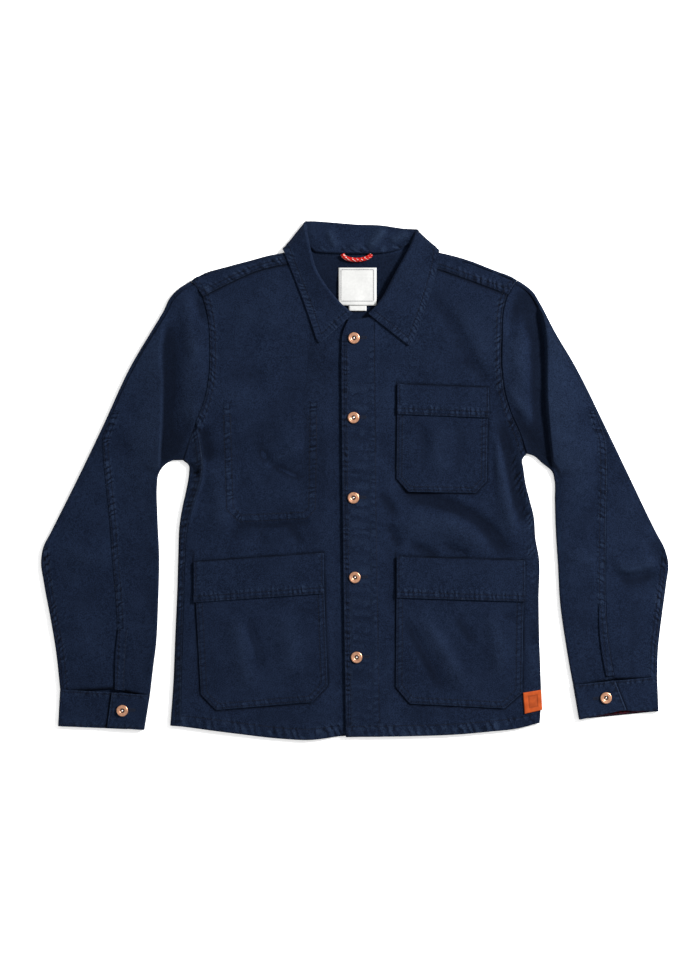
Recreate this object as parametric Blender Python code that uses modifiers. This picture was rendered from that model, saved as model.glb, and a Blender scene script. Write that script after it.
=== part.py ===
"""Chore jacket, laid flat on its back, its front up and buttoned.

Lengths are in millimetres until a mesh is made.  +Z is up from the surface that the jacket
lies on, +Y runs towards the collar and +X to the wearer's left.  The origin is under the
middle of the laid garment.  Tables give points of cut edges in plan as (x, y).
"""
import bpy
import bmesh
import numpy as np

MM = 0.001
CLOTH = 1.4             # wall of one ply of twill
DOUBLED = 1.8           # wall of a collar or cuff, two plies pressed together
SEAM = 0.3              # gap left between two pieces at a seam
LAY = 0.5               # gap left under a piece that lies on a panel
FOLD_RADIUS = 3.2       # half width of a soft fold at the garment's edge
FOLD_STEPS = 4
FLAT_TOP = 6.4          # face of a front or sleeve where it lies flat on the back
LEAST_TOP = 3.5         # face of a front at the bottom of its deepest trough
PLACKET_TOP = 6.6
STAND_TOP = 3.5         # face of the button stand, under the placket
NECK_LIFT = 2.2         # the yoke lies this high where the collar's fall is under it
WRAP = 12               # the left front goes round the side to this far under the jacket
FRONT_COLUMNS = 14
FRONT_ROWS = 24
HEM_ROWS = 14           # of those rows, the ones below the underarm
SLEEVE_ROWS = 21
WING_COLUMNS = 9
NECK_COLUMNS = 8

# Left and right below are the wearer's: the right side is at -X.
OUTER_RIGHT = [  # shoulder from the neck to the armhole, then the sleeve's outer edge
    (-71.5, 349), (-88, 344.5), (-106, 341), (-130, 336.5), (-158, 329), (-186, 321.5),
    (-231, 307), (-244.5, 299),
    (-261, 289), (-276, 274), (-286.5, 253), (-304.5, 223), (-333, 175), (-378, 79),
    (-412.5, 7), (-454.5, -77), (-466.5, -101), (-469.5, -119), (-465, -155), (-456, -203),
    (-447, -257), (-441, -312)]
OUTER_LEFT = [
    (86.5, 349.5), (104, 345), (128, 341), (148, 336.5), (176, 328), (204, 317),
    (229.5, 307), (244, 300),
    (255, 293), (267, 283), (277.5, 266), (300, 223), (328.5, 175), (376.5, 79),
    (411, 7), (451.5, -77), (465.5, -104), (470.3, -124), (467, -155), (460.5, -203),
    (454.5, -257), (453.5, -293)]
INNER_RIGHT = [  # from the cuff along the sleeve's inner edge to the underarm
    (-306, -320), (-301.5, -281), (-297, -245), (-294, -185), (-292.5, -113), (-295, -53),
    (-295.5, -5), (-294, 8), (-287, 20), (-275, 29), (-257, 30.5)]
INNER_LEFT = [
    (327, -305), (322.5, -281), (316.5, -245), (308, -185), (304.5, -125), (301.5, -77),
    (300, -29), (299.5, 0), (296.5, 12), (281, 26), (268, 37), (258, 40)]
SIDE_RIGHT = [  # from the hem to the underarm
    (-276, -367), (-271.5, -305), (-268.5, -233), (-265.5, -164), (-264, -113), (-262, -66),
    (-258, -41), (-252, -14), (-248, 10), (-248, 22), (-257, 30.5)]
SIDE_LEFT = [
    (277.5, -363.5), (279.5, -336), (278.5, -281), (277, -239), (276, -179), (276, -113),
    (271.5, -89), (268.5, -53), (262.5, -29), (256.5, -5), (253, 19), (251.5, 31), (258, 40)]
ARMHOLE_RIGHT = [  # front seam, from the underarm to the shoulder
    (-257, 30.5), (-247.5, 58), (-236, 90), (-227, 113), (-221, 136), (-217, 170),
    (-217, 211), (-219, 239), (-223.5, 260), (-228, 275), (-244.5, 299)]
ARMHOLE_LEFT = [
    (258, 40), (248.5, 69), (234.5, 101), (225.5, 131), (221, 166), (221, 211), (222, 246),
    (224.5, 262), (230, 278), (244, 300)]
FELLED_SEAM = [  # where the back, brought round to the front, is felled to the right front
    (-260, -368), (-260, -329), (-258, -254), (-256, -179), (-254, -119), (-250.5, -74),
    (-241.5, -37), (-230, 0), (-227, 23), (-229.5, 49), (-237.2, 86)]
YOKE_SEAM_RIGHT = [(-228, 275), (-186, 296), (-141, 315), (-106.5, 323), (-71.5, 331)]
YOKE_SEAM_LEFT = [(84, 331), (129, 315), (174, 299), (230, 278)]
NECK_RIGHT = [  # front neckline, from the yoke seam to the edge of the button stand
    (-71.5, 331), (-67.5, 316), (-61, 300), (-51, 281), (-32, 259), (-8, 243), (27, 238)]
NECK_LEFT = [  # from the placket's corner to the yoke seam
    (-9, 242), (14, 243), (34, 249), (53, 266), (67.5, 288), (79.5, 311), (84, 331)]
NECK_BACK = [
    (-71, 347), (-63, 340.5), (-50, 338), (-21, 337), (28, 337), (58, 339.5), (73, 344), (86, 349.5)]
PLACKET_EDGE = [
    (-13, -384), (-16, -200), (-18.5, 0), (-19.5, 120), (-19.5, 200), (-17.5, 222), (-9, 242)]
STAND_EDGE = [(27, -381), (27, 238)]
HEM_RIGHT = [
    (-276, -367), (-231, -371), (-171, -379), (-111, -386), (-66, -388), (-21, -383),
    (27, -381)]
HEM_LEFT = [
    (-13, -384), (69, -383), (114, -382), (159, -380), (204, -376), (249, -371), (277.5, -363.5)]
BACK_SEAM_Y = 226       # back yoke seam
BACK_SEAM_RISE = 4      # it rises this much at its middle
PLACKET_WIDTH = 52

SEAM_A_RIGHT = [  # seam between the sleeve pieces on the upper face, shoulder to cuff
    (-240.4, 293), (-257.5, 284.5), (-271, 270.5), (-281.5, 250.5), (-299.8, 220.3), (-328.3, 172.2),
    (-369.5, 84), (-377.5, 62), (-376.5, 40), (-373.5, 8), (-368, -44), (-362, -122), (-357, -179),
    (-355, -227), (-360, -307)]
SEAM_A_LEFT = [
    (240.2, 294), (251.5, 288), (262.5, 279), (272.5, 263.5), (295.2, 220.5), (323.8, 172), (368.5, 83),
    (375.5, 62), (377.5, 30), (377.5, -7), (376, -60), (375.5, -119), (376, -183), (379.5, -240),
    (389, -293)]
SLEEVE_CAP = 9 / 21     # share of a sleeve's rows that fan out from the armhole to the elbow side
INNER_PACE = ((0, SLEEVE_CAP, 1), (0, 0.13, 1))  # where rows meet the inner edge
OUTER_PACE = ((0, SLEEVE_CAP, 1), (0, 0.5, 1))   # and where they meet the outer one
UNDER_SEAM_SHARE = (0.42, 0.9)  # seam on the lower face, from inner to outer edge, at its ends

CUFF_ROWS = 3
CUFF_TOP = 6.2
OVERLAP_TOP = 8.6
TUCK_SHARE = 0.2        # the end that it covers
CUFFS = [  # inner and outer top corners, inner and outer bottom corners, overlap's low corner and
           # the share of the top, from inner to outer, that the overlapping end covers
    dict(side="right", inner=(-306, -320.5), outer=(-441, -312.5), low_inner=(-314.5, -373),
         low_outer=(-444, -367.5), low_overlap=(-370, -369), overlap=0.422),
    dict(side="left", inner=(327, -305.5), outer=(453.5, -293.5), low_inner=(336, -357.5),
         low_outer=(455.5, -345.5), low_overlap=(406, -342), overlap=0.495),
]
SLEEVE_PLACKETS = [  # corners, anticlockwise from the lower left one
    dict(side="right", corners=[(-358, -313), (-344, -314), (-339, -224), (-353.5, -222)]),
    dict(side="left", corners=[(376.5, -293), (388.5, -292), (375.5, -185), (365.5, -187)]),
]
POCKETS = [  # patch pockets: corners of the bag from its top left clockwise, band's height
    dict(name="pocket_chest", top=[(64, 144), (199.5, 138.5)], band=45,
         low=[(62.5, 3), (80.5, -17), (180.5, -19), (197.5, -1)]),
    dict(name="pocket_lower_left", top=[(63, -114), (253.5, -120)], band=61.5,
         low=[(61.5, -309), (83, -334), (224, -341), (250.5, -317.5)]),
    dict(name="pocket_lower_right", top=[(-240.5, -122), (-47.5, -108.5)], band=60.5,
         low=[(-230, -320), (-207, -343.5), (-63.5, -331.5), (-40.5, -306.5)]),
]
INNER_POCKET = dict(top=[(-196.5, 97), (-56, 97)],
                    low=[(-192, -44), (-173, -62.5), (-72, -58), (-58, -43.5)])

# Soft ridges and troughs: three points along each, half width and height (troughs below 0).
FOLDS = [
    dict(at=[(-290, 232), (-289.5, 131), (-294, 8)], width=9, height=4.5),
    dict(at=[(-277, 226), (-274, 131), (-279, 38)], width=13, height=-2.8),
    dict(at=[(288, 245), (288, 154), (298, 20)], width=9, height=4.5),
    dict(at=[(276, 247), (274, 154), (280, 46)], width=12, height=-2.8),
    dict(at=[(222, 78), (237, 16), (254, -76)], width=10, height=-2.8),
    dict(at=[(208, 74), (220, -2), (234, -84)], width=13, height=4.0),
    dict(at=[(60, -22), (144, -34), (236, -106)], width=11, height=-2.6),
    dict(at=[(46, -62), (129, -72), (196, -112)], width=15, height=3.6),
    dict(at=[(129, 280), (170, 220), (206, 150)], width=15, height=2.6),
    dict(at=[(-150, 272), (-176, 215), (-196, 150)], width=16, height=2.2),
    dict(at=[(-214, 30), (-203, -30), (-206, -86)], width=16, height=3.0),
    dict(at=[(-234, 74), (-227, 48), (-225, 20)], width=8, height=-2.4),
    dict(at=[(-122, -48), (-96, -66), (-60, -78)], width=12, height=2.4),
    dict(at=[(-440, -100), (-400, -118), (-350, -112)], width=13, height=2.8),
    dict(at=[(455, -128), (420, -140), (388, -168)], width=12, height=2.8),
    dict(at=[(340, 100), (335, 20), (330, -60)], width=18, height=2.4),
    dict(at=[(-330, 100), (-322, 20), (-318, -60)], width=18, height=2.4),
]
POCKET_FOLDS = [  # ridges in the pockets' own cloth
    dict(at=[(-182, -196), (-172, -250), (-158, -318)], width=15, height=3.2),
    dict(at=[(-112, -190), (-100, -250), (-92, -300)], width=18, height=2.0),
    dict(at=[(100, -196), (130, -250), (166, -318)], width=15, height=3.2),
    dict(at=[(202, -192), (212, -250), (214, -300)], width=13, height=2.4),
    dict(at=[(128, 84), (124, 40), (132, 4)], width=16, height=1.6),
]
FLAT_ZONES = [  # what a panel carries lies flat here: lowest and highest x and y
    dict(x=(62, 205), y=(-20, 145)), dict(x=(62, 254), y=(-342, -114)),
    dict(x=(-240, -40), y=(-343, -108)), dict(x=(-21, 30), y=(-390, 245)),
    dict(x=(-108, 126), y=(200, 360)), dict(x=(-392, -338), y=(-330, -222)),
    dict(x=(355, 405), y=(-310, -188)),
]
FLAT_MARGIN = 16

# The collar, section by section from its right front end round the neck to its left one.
# edge: outer edge of the fall.  roll: tip of the roll.  neck: its seam, each (x, y, z).
# facing: direction in plan that the roll points.  turn: 90 has the fall on top, -90 under.
COLLAR = [
    dict(edge=(-54, 203, 8.8), roll=(-2, 250, 8.2), neck=(-5, 247, 6.8), facing=50, turn=90, radius=1.6),
    dict(edge=(-60, 221, 8.8), roll=(-12, 258, 8.8), neck=(-17, 253, 6.2), facing=48, turn=90, radius=2.8),
    dict(edge=(-69, 248, 8.8), roll=(-22.5, 268, 9.6), neck=(-30, 262, 5.9), facing=46, turn=90, radius=3.8),
    dict(edge=(-81, 281, 8.8), roll=(-42, 291, 10.0), neck=(-49, 285, 5.9), facing=36, turn=90, radius=4.2),
    dict(edge=(-92, 309, 8.8), roll=(-56, 314, 10.0), neck=(-62, 307, 5.9), facing=24, turn=90, radius=4.2),
    dict(edge=(-101, 331, 8.8), roll=(-63, 336, 9.8), neck=(-66, 325, 5.9), facing=14, turn=88, radius=4.0),
    dict(edge=(-105.5, 342, 8.6), roll=(-69, 362, 9.2), neck=(-67.5, 337, 5.9), facing=14, turn=80, radius=3.6),
    dict(edge=(-107, 345, 6.6), roll=(-72.5, 378, 7.8), neck=(-68, 344, 5.4), facing=55, turn=40, radius=3.0),
    dict(edge=(-107.5, 346, 4.4), roll=(-74, 387, 5.0), neck=(-67.5, 349, 4.8), facing=98, turn=0, radius=2.4),
    dict(edge=(-101, 344, 0.5), roll=(-69, 388, 3.2), neck=(-64, 347, 4.6), facing=92, turn=-55, radius=2.4),
    dict(edge=(-88, 334, 0.2), roll=(-58, 388.1, 2.6), neck=(-57, 342, 4.6), facing=90, turn=-90, radius=2.5),
    dict(edge=(-44, 328, 0.2), roll=(-36, 386.8, 3.2), neck=(-34, 340, 4.8), facing=90, turn=-90, radius=3.2),
    dict(edge=(4, 326, 0.2), roll=(4, 383.6, 3.6), neck=(4, 339.3, 5.0), facing=90, turn=-90, radius=3.6),
    dict(edge=(54, 327, 0.2), roll=(42, 381.6, 3.4), neck=(38, 340, 4.8), facing=90, turn=-90, radius=3.4),
    dict(edge=(96, 333, 0.2), roll=(72, 377.8, 2.7), neck=(62, 344, 4.7), facing=89, turn=-90, radius=2.7),
    dict(edge=(116.5, 344.5, 0.5), roll=(87, 377, 3.2), neck=(73, 349.5, 4.6), facing=88, turn=-125, radius=2.4),
    dict(edge=(125.5, 345.5, 4.4), roll=(94.5, 376, 5.0), neck=(80, 354, 4.8), facing=80, turn=-180, radius=2.4),
    dict(edge=(126.5, 343, 7.6), roll=(91, 371, 7.8), neck=(81.5, 349, 5.4), facing=120, turn=-222, radius=3.0),
    dict(edge=(126, 336, 8.75), roll=(85.5, 358, 9.2), neck=(81.5, 340, 5.9), facing=160, turn=-260, radius=3.6),
    dict(edge=(124.5, 321, 8.8), roll=(79, 344, 9.8), neck=(79.5, 330, 5.9), facing=160, turn=-268, radius=4.0),
    dict(edge=(120, 302, 8.8), roll=(68, 324, 10.0), neck=(75.5, 315, 5.9), facing=154, turn=-270, radius=4.2),
    dict(edge=(113, 278, 8.8), roll=(57, 303, 10.0), neck=(63.5, 297, 5.9), facing=150, turn=-270, radius=4.2),
    dict(edge=(104, 251, 8.8), roll=(43, 277, 10.0), neck=(52, 273, 5.9), facing=142, turn=-270, radius=4.2),
    dict(edge=(95, 226, 8.8), roll=(31.5, 261, 9.2), neck=(38, 257, 6.0), facing=136, turn=-270, radius=3.4),
    dict(edge=(84, 199, 8.8), roll=(20, 250, 8.2), neck=(25, 248.5, 6.8), facing=130, turn=-270, radius=1.6),
]
COLLAR_STATIONS = 34
COLLAR_ARC = 4          # steps round the roll
FALL_STEPS = 5
NECK_STEPS = 3

BUTTON_RADIUS = 8.8
BUTTON_SIDES = 12
BUTTONS = [  # x, y and the face of the cloth under each front button, neck to hem
    dict(x=-0.8, y=213), dict(x=-1.5, y=94), dict(x=-1.6, y=-26), dict(x=0.5, y=-145),
    dict(x=3.2, y=-264.5)]
CUFF_BUTTONS = [dict(side="right", x=-347, y=-344), dict(side="left", x=376, y=-325)]

LABEL = [(-24, 262), (33, 262), (33, 318.5), (-24, 318.5)]
SIZE_TAB = [(-8.5, 254), (18, 254), (18, 261.5), (-8.5, 261.5)]
LEATHER_PATCH = [(254.5, -349), (281, -343), (279.5, -313), (252, -317.5)]
LABEL_WALL = 0.8
LEATHER_WALL = 1.6
LOOP = [
    (-18, 338.3), (-16.5, 335.2), (-12, 332.4), (-5, 330.6), (3, 330), (12, 330.8), (19, 333.2),
    (23.5, 336), (25, 338.3)]
LOOP_RADIUS = 3.2

COLOURS = {  # linear base colour, roughness and metallic value of each material
    "twill": ((0.0115, 0.0185, 0.0385), 0.9, 0.0),
    "copper": ((0.66, 0.33, 0.19), 0.32, 1.0),
    "leather": ((0.5, 0.1, 0.03), 0.6, 0.0),
    "label": ((0.82, 0.82, 0.82), 0.8, 0.0),
    "cord": ((0.62, 0.02, 0.015), 0.7, 0.0),
}


def clear_scene():
    for item in list(bpy.data.objects):
        bpy.data.objects.remove(item, do_unlink=True)


def material(name):
    """The Principled material of that name, made once."""
    made = bpy.data.materials.get(name)
    if made:
        return made
    colour, roughness, metallic = COLOURS[name]
    made = bpy.data.materials.new(name)
    made.use_nodes = True
    shader = made.node_tree.nodes["Principled BSDF"]
    shader.inputs["Base Color"].default_value = (*colour, 1.0)
    shader.inputs["Roughness"].default_value = roughness
    shader.inputs["Metallic"].default_value = metallic
    return made


def place(collection, name, data, look):
    data.materials.append(material(look))
    item = bpy.data.objects.new(name, data)
    collection.objects.link(item)
    return item


def smoothstep(value, start, end):
    share = np.clip((value - start) / (end - start), 0, 1)
    return share * share * (3 - 2 * share)


def spline(rows):
    """Smooth curve through rows of numbers, as a function of the share 0 to 1 of its length."""
    points = np.array(rows, float)
    steps = np.linalg.norm(np.diff(points[:, :2], axis=0), axis=1)
    knots = np.concatenate([[0.0], np.cumsum(steps)]) / steps.sum()
    slopes = np.gradient(points, knots, axis=0)

    def at(share):
        share = np.clip(np.atleast_1d(np.asarray(share, float)), 0, 1)
        first = np.clip(np.searchsorted(knots, share, side="right") - 1, 0, len(knots) - 2)
        width = (knots[first + 1] - knots[first])[:, None]
        s = (share - knots[first])[:, None] / width
        return ((2 * s ** 3 - 3 * s ** 2 + 1) * points[first]
                + (s ** 3 - 2 * s ** 2 + s) * width * slopes[first]
                + (3 * s ** 2 - 2 * s ** 3) * points[first + 1]
                + (s ** 3 - s ** 2) * width * slopes[first + 1])
    return at


def polyline(rows):
    """Straight runs through rows of points, with equal shares for each run."""
    points = np.array(rows, float)
    knots = np.linspace(0, 1, len(points))
    return lambda share: np.stack([np.interp(np.atleast_1d(share), knots, column) for column in points.T], -1)


def stretch(curve, first, last):
    """The stretch of a curve between two shares of it."""
    return lambda share: curve(first + (last - first) * np.asarray(share, float))


def joined(first, second, share_of_first):
    """Two curves end to end; the first takes the given share."""
    def at(share):
        share = np.atleast_1d(np.asarray(share, float))
        early = first(np.minimum(share / share_of_first, 1))
        late = second(np.maximum((share - share_of_first) / (1 - share_of_first), 0))
        return np.where((share <= share_of_first + 1e-9)[:, None], early, late)
    return at


def reverse(curve):
    return lambda share: curve(1 - np.atleast_1d(np.asarray(share, float)))


def left_of(curve, share):
    """Unit vectors in plan to the left of a curve's direction of travel."""
    share = np.atleast_1d(np.asarray(share, float))
    ahead = curve(np.minimum(share + 0.01, 1)) - curve(np.maximum(share - 0.01, 0))
    ahead = ahead / np.linalg.norm(ahead, axis=1, keepdims=True)
    return np.stack([-ahead[:, 1], ahead[:, 0]], -1)


def moved(curve, distance):
    """A curve shifted in plan, to the left of its direction of travel."""
    return lambda share: curve(share) + distance * left_of(curve, share)


def paced(curve, pace):
    """A curve travelled by a table of pace: shares of the rows, and of the curve, at its knots."""
    return lambda share: curve(np.interp(np.atleast_1d(share), *pace))


def share_near(curve, point):
    """The share of a curve that lies nearest to a point in plan."""
    shares = np.linspace(0, 1, 2001)
    return shares[np.argmin(np.linalg.norm(curve(shares) - np.array(point), axis=1))]


def patch(bottom, top, left, right, columns, rows):
    """Plan points spread smoothly between four edges, as an array of rows by columns."""
    across = np.asarray(columns, float) if np.ndim(columns) else np.linspace(0, 1, columns + 1)
    along = np.linspace(0, 1, rows + 1)
    u, v = across[None, :, None], along[:, None, None]
    low, high = bottom(across)[None], top(across)[None]
    near, far = left(along)[:, None], right(along)[:, None]
    corners = ((1 - u) * (1 - v) * low[:, :1] + u * (1 - v) * low[:, -1:]
               + (1 - u) * v * high[:, :1] + u * v * high[:, -1:])
    return (1 - v) * low + v * high + (1 - u) * near + u * far - corners


def fold_relief(plan, folds):
    """Height of the soft ridges and troughs in a table at points in plan."""
    height = np.zeros(plan.shape[:-1])
    for fold in folds:
        run = spline(fold["at"])(np.linspace(0, 1, 13))
        apart = np.linalg.norm(plan[..., None, :] - run, axis=-1)
        nearest = np.argmin(apart, axis=-1) / (len(run) - 1)
        fade = 4 * nearest * (1 - nearest)
        height += fold["height"] * fade * np.exp(-(np.min(apart, axis=-1) / fold["width"]) ** 2)
    return height


def flatness(plan):
    """0 where a panel carries something and lies flat, 1 away from it."""
    free = np.ones(plan.shape[:-1])
    for zone in FLAT_ZONES:
        outside = [np.maximum(zone[key][0] - plan[..., axis], plan[..., axis] - zone[key][1])
                   for axis, key in enumerate("xy")]
        free = np.minimum(free, smoothstep(np.maximum(*outside), 0, FLAT_MARGIN))
    return free


def panel_top(plan):
    """Height of the upper face of a front, yoke or sleeve."""
    return np.maximum(FLAT_TOP + fold_relief(plan, FOLDS) * flatness(plan), LEAST_TOP)


def right_front_top(plan):
    """The right front slopes down to its button stand, under the placket."""
    drop = (FLAT_TOP - STAND_TOP) * smoothstep(plan[..., 0], -46, -24)
    return panel_top(plan) - drop


def left_front_top(plan):
    """The left front's placket lies a little proud of the panel."""
    band = 1 - smoothstep(plan[..., 0] - PLACKET_EDGE[2][0], PLACKET_WIDTH, PLACKET_WIDTH + 6)
    return panel_top(plan) + (PLACKET_TOP - FLAT_TOP) * band


def yoke_bottom(plan):
    """Height of the yoke's lower face: it lies on the collar's fall near the neck."""
    near_x = 1 - smoothstep(np.abs(plan[..., 0] - 9), 121, 150)
    near_y = smoothstep(plan[..., 1], 292, 318)
    return NECK_LIFT * near_x * near_y


def raised(plan, height):
    """Plan points with their heights."""
    return np.concatenate([plan, np.broadcast_to(height, plan.shape[:-1])[..., None]], -1)


def fold_round(edge, outward, top, bottom):
    """Points round a soft fold from its upper to its lower face, one row for each edge point."""
    turn = np.radians(np.linspace(90, -90, FOLD_STEPS + 1))
    reach = FOLD_RADIUS * (np.cos(turn) - 1)
    plan = edge[:, None] + outward[:, None] * reach[None, :, None]
    top, bottom = (np.broadcast_to(value, len(edge))[:, None] for value in (top, bottom))
    return raised(plan, (top + bottom) / 2 + (top - bottom) / 2 * np.sin(turn)[None])


def cloth(collection, name, grid, wall=CLOTH, look="twill"):
    """A sheet of cloth: its outer face through a grid of points, and its wall inside that.

    The face's normal points out where columns run to the right of rows.  Points that are not
    numbers leave a part of the grid out.
    """
    rows, columns = grid.shape[:2]
    mesh = bpy.data.meshes.new(name)
    sheet = bmesh.new()
    bmesh.ops.create_grid(sheet, x_segments=columns - 1, y_segments=rows - 1, size=0.5)
    unused = []
    for vertex in sheet.verts:
        column = round((vertex.co.x + 0.5) * (columns - 1))
        row = round((vertex.co.y + 0.5) * (rows - 1))
        point = grid[row, column]
        if np.isnan(point).any():
            unused.append(vertex)
        else:
            vertex.co = point * MM
    bmesh.ops.delete(sheet, geom=unused, context="VERTS")
    loose = [vertex for vertex in sheet.verts if not vertex.link_faces]
    bmesh.ops.delete(sheet, geom=loose, context="VERTS")
    sheet.to_mesh(mesh)
    sheet.free()
    mesh.shade_smooth()
    item = place(collection, name, mesh, look)
    solid = item.modifiers.new("wall", "SOLIDIFY")
    solid.thickness = wall * MM
    solid.offset = -1
    return item


def armhole_back(front_seam):
    """The back armhole seam: straight from the underarm to the shoulder."""
    return polyline([front_seam(0)[0], front_seam(1)[0]])


def shoulder_direction(front_seam):
    """Direction in plan in which both armhole seams, taken together, reach the shoulder."""
    ends = [seam(1)[0] - seam(0.98)[0] for seam in (front_seam, armhole_back(front_seam))]
    mean = sum(end / np.linalg.norm(end) for end in ends)
    return mean / np.linalg.norm(mean)


def back_share(seam):
    """The share of a back armhole seam that lies below the back yoke seam."""
    return share_near(seam, np.array([seam(0)[0, 0], BACK_SEAM_Y]))


def make_back(collection):
    """Flat back panel; on the right it wraps round the side to the felled seam."""
    side_share = HEM_ROWS / FRONT_ROWS
    hem = [(x, y + 1) for x, y in HEM_RIGHT[:-1]] + [(x, y + 1) for x, y in HEM_LEFT[1:]]
    arms = {}
    for side, front in (("right", ARMHOLE_RIGHT), ("left", ARMHOLE_LEFT)):
        seam = armhole_back(spline(front))
        inset = SEAM if side == "left" else -SEAM
        arms[side] = moved(stretch(seam, 0, back_share(seam)), inset)
    left_side = moved(spline(SIDE_LEFT), FOLD_RADIUS + WRAP + SEAM)
    right_side = moved(spline(SIDE_RIGHT), -FOLD_RADIUS)
    left_edge = joined(left_side, arms["left"], side_share)
    right_edge = joined(right_side, arms["right"], side_share)
    seam_points = [arms["left"](1)[0], (0, BACK_SEAM_Y + BACK_SEAM_RISE), arms["right"](1)[0]]
    plate = patch(spline(hem[::-1]), spline(seam_points), left_edge, right_edge, 8, FRONT_ROWS)
    along = np.linspace(0, 1, HEM_ROWS + 1)
    side = spline(SIDE_RIGHT)
    around = fold_round(side(along), left_of(side, along), FLAT_TOP, 0)[:, ::-1]
    around = pad_rows(around[:, 1:-1], FRONT_ROWS + 1)
    front_arm = spline(ARMHOLE_RIGHT)
    tip = share_near(front_arm, FELLED_SEAM[-1])
    outer = joined(right_side, moved(stretch(front_arm, 0.04, tip), -SEAM), HEM_ROWS / (HEM_ROWS + 3))
    felled = moved(spline(FELLED_SEAM), SEAM / 2)
    upper = patch(lambda s: outer(0) + (felled(0) - outer(0)) * s[:, None],
                  lambda s: outer(1) + (felled(1) - outer(1)) * s[:, None],
                  outer, felled, 2, HEM_ROWS + 3)
    upper = pad_rows(raised(upper, panel_top(upper)), FRONT_ROWS + 1)
    cloth(collection, "back", np.concatenate([raised(plate, 0), around, upper], 1))


def pad_rows(grid, rows):
    """A grid made up to a number of rows, the added points left out."""
    missing = np.full((rows - grid.shape[0], *grid.shape[1:]), np.nan)
    return np.concatenate([grid, missing], 0)


def make_front_right(collection):
    felled = moved(spline(FELLED_SEAM), -SEAM / 2)
    arm = spline(ARMHOLE_RIGHT)
    arm = moved(stretch(arm, share_near(arm, FELLED_SEAM[-1]), share_near(arm, YOKE_SEAM_RIGHT[0])), -1.5 * SEAM)
    side = joined(felled, arm, (HEM_ROWS + 3) / FRONT_ROWS)
    top = joined(spline([(x, y - 1.3 * SEAM) for x, y in YOKE_SEAM_RIGHT]), spline(NECK_RIGHT), 0.58)
    grid = patch(spline([(max(x, -260), y) for x, y in HEM_RIGHT]), top, side,
                 polyline(STAND_EDGE), FRONT_COLUMNS, FRONT_ROWS)
    cloth(collection, "front_right", raised(grid, right_front_top(grid)))


def make_front_left(collection):
    """Left front with its placket; it wraps under at the side."""
    side = spline(SIDE_LEFT)
    arm = spline(ARMHOLE_LEFT)
    arm = moved(stretch(arm, 0, share_near(arm, YOKE_SEAM_LEFT[-1])), 2.5 * SEAM)
    edge = joined(moved(side, FOLD_RADIUS), arm, HEM_ROWS / FRONT_ROWS)
    top = joined(spline(NECK_LEFT), spline([(x, y - SEAM) for x, y in YOKE_SEAM_LEFT]), 0.42)
    upper = patch(spline(HEM_LEFT), top, spline(PLACKET_EDGE), edge, FRONT_COLUMNS, FRONT_ROWS)
    height = left_front_top(upper)
    along = np.linspace(0, 1, HEM_ROWS + 1)
    outward = -left_of(side, along)
    around = fold_round(side(along), outward, height[:HEM_ROWS + 1, -1], 0)
    tuck = raised(side(along) - outward * (FOLD_RADIUS + WRAP), 0)[:, None]
    under = pad_rows(np.concatenate([around[:, 1:], tuck], 1), FRONT_ROWS + 1)
    cloth(collection, "front_left", np.concatenate([raised(upper, height), under], 1))


def make_yoke(collection):
    """One-piece yoke: from its front seams up over both shoulders and down to the back seam."""
    sides = {"right": (OUTER_RIGHT, ARMHOLE_RIGHT), "left": (OUTER_LEFT, ARMHOLE_LEFT)}
    shoulder, tops, folds, backs = {}, {}, {}, {}
    for side, (outer_table, arm_table) in sides.items():
        sign = -1 if side == "right" else 1
        outer, arm = spline(outer_table), spline(arm_table)
        run = stretch(outer, 0, share_near(outer, arm_table[-1]) - 0.0008)
        seam = moved(spline(YOKE_SEAM_RIGHT if side == "right" else YOKE_SEAM_LEFT), SEAM / 2)
        if side == "right":
            run = reverse(run)
        along = np.linspace(0, 1, WING_COLUMNS + 1)
        edge, outward = run(along), left_of(run, along)
        outward[0 if side == "right" else -1] = shoulder_direction(arm)
        folds[side] = fold_round(edge, outward, FLAT_TOP, yoke_bottom(edge))
        corner_share = 1 - FOLD_RADIUS / np.linalg.norm(arm(1) - arm(0))
        for step, end_seam in ((0, arm), (-1, armhole_back(arm))):
            corner = moved(end_seam, 1.5 * sign * SEAM)(corner_share)[0]
            folds[side][0 if side == "right" else -1, step, :2] = corner
        shoulder[side] = polyline(folds[side][:, -1, :2])
        high = polyline(folds[side][:, 0, :2])
        arm_end, neck_end = (0, 1) if side == "right" else (1, 0)
        arm_part = moved(stretch(arm, share_near(arm, seam(arm_end)[0]), 1), sign * SEAM)
        neck_part = polyline([seam(neck_end)[0], high(neck_end)[0]])
        ends = (arm_part, neck_part) if side == "right" else (neck_part, arm_part)
        top = patch(seam, high, *ends, WING_COLUMNS, 2)
        tops[side] = raised(top, panel_top(top))
        back = armhole_back(arm)
        backs[side] = moved(stretch(back, corner_share, back_share(back) + 0.0015), -sign * SEAM)
    neck = spline([(x, y - SEAM) for x, y in NECK_BACK])
    total = 2 * WING_COLUMNS + NECK_COLUMNS
    wing = WING_COLUMNS / total
    high = joined(joined(shoulder["right"], neck, WING_COLUMNS / (WING_COLUMNS + NECK_COLUMNS)),
                  shoulder["left"], 1 - wing)
    low = spline([backs["right"](1)[0], (0, BACK_SEAM_Y + BACK_SEAM_RISE + 2 * SEAM), backs["left"](1)[0]])
    plate = patch(high, low, backs["right"], backs["left"], total, 5)
    plate = raised(plate, yoke_bottom(plate))
    gap = np.full((2 + FOLD_STEPS, NECK_COLUMNS - 1, 3), np.nan)
    upper = {side: np.concatenate([tops[side][:-1], folds[side].transpose(1, 0, 2)[:-1]]) for side in sides}
    over = np.concatenate([upper["right"], gap, upper["left"]], 1)
    cloth(collection, "yoke", np.concatenate([over, plate]))


def chord(first, second):
    """Straight run between two points in plan."""
    return lambda share: first + (second - first) * np.atleast_1d(share)[:, None]


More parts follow.
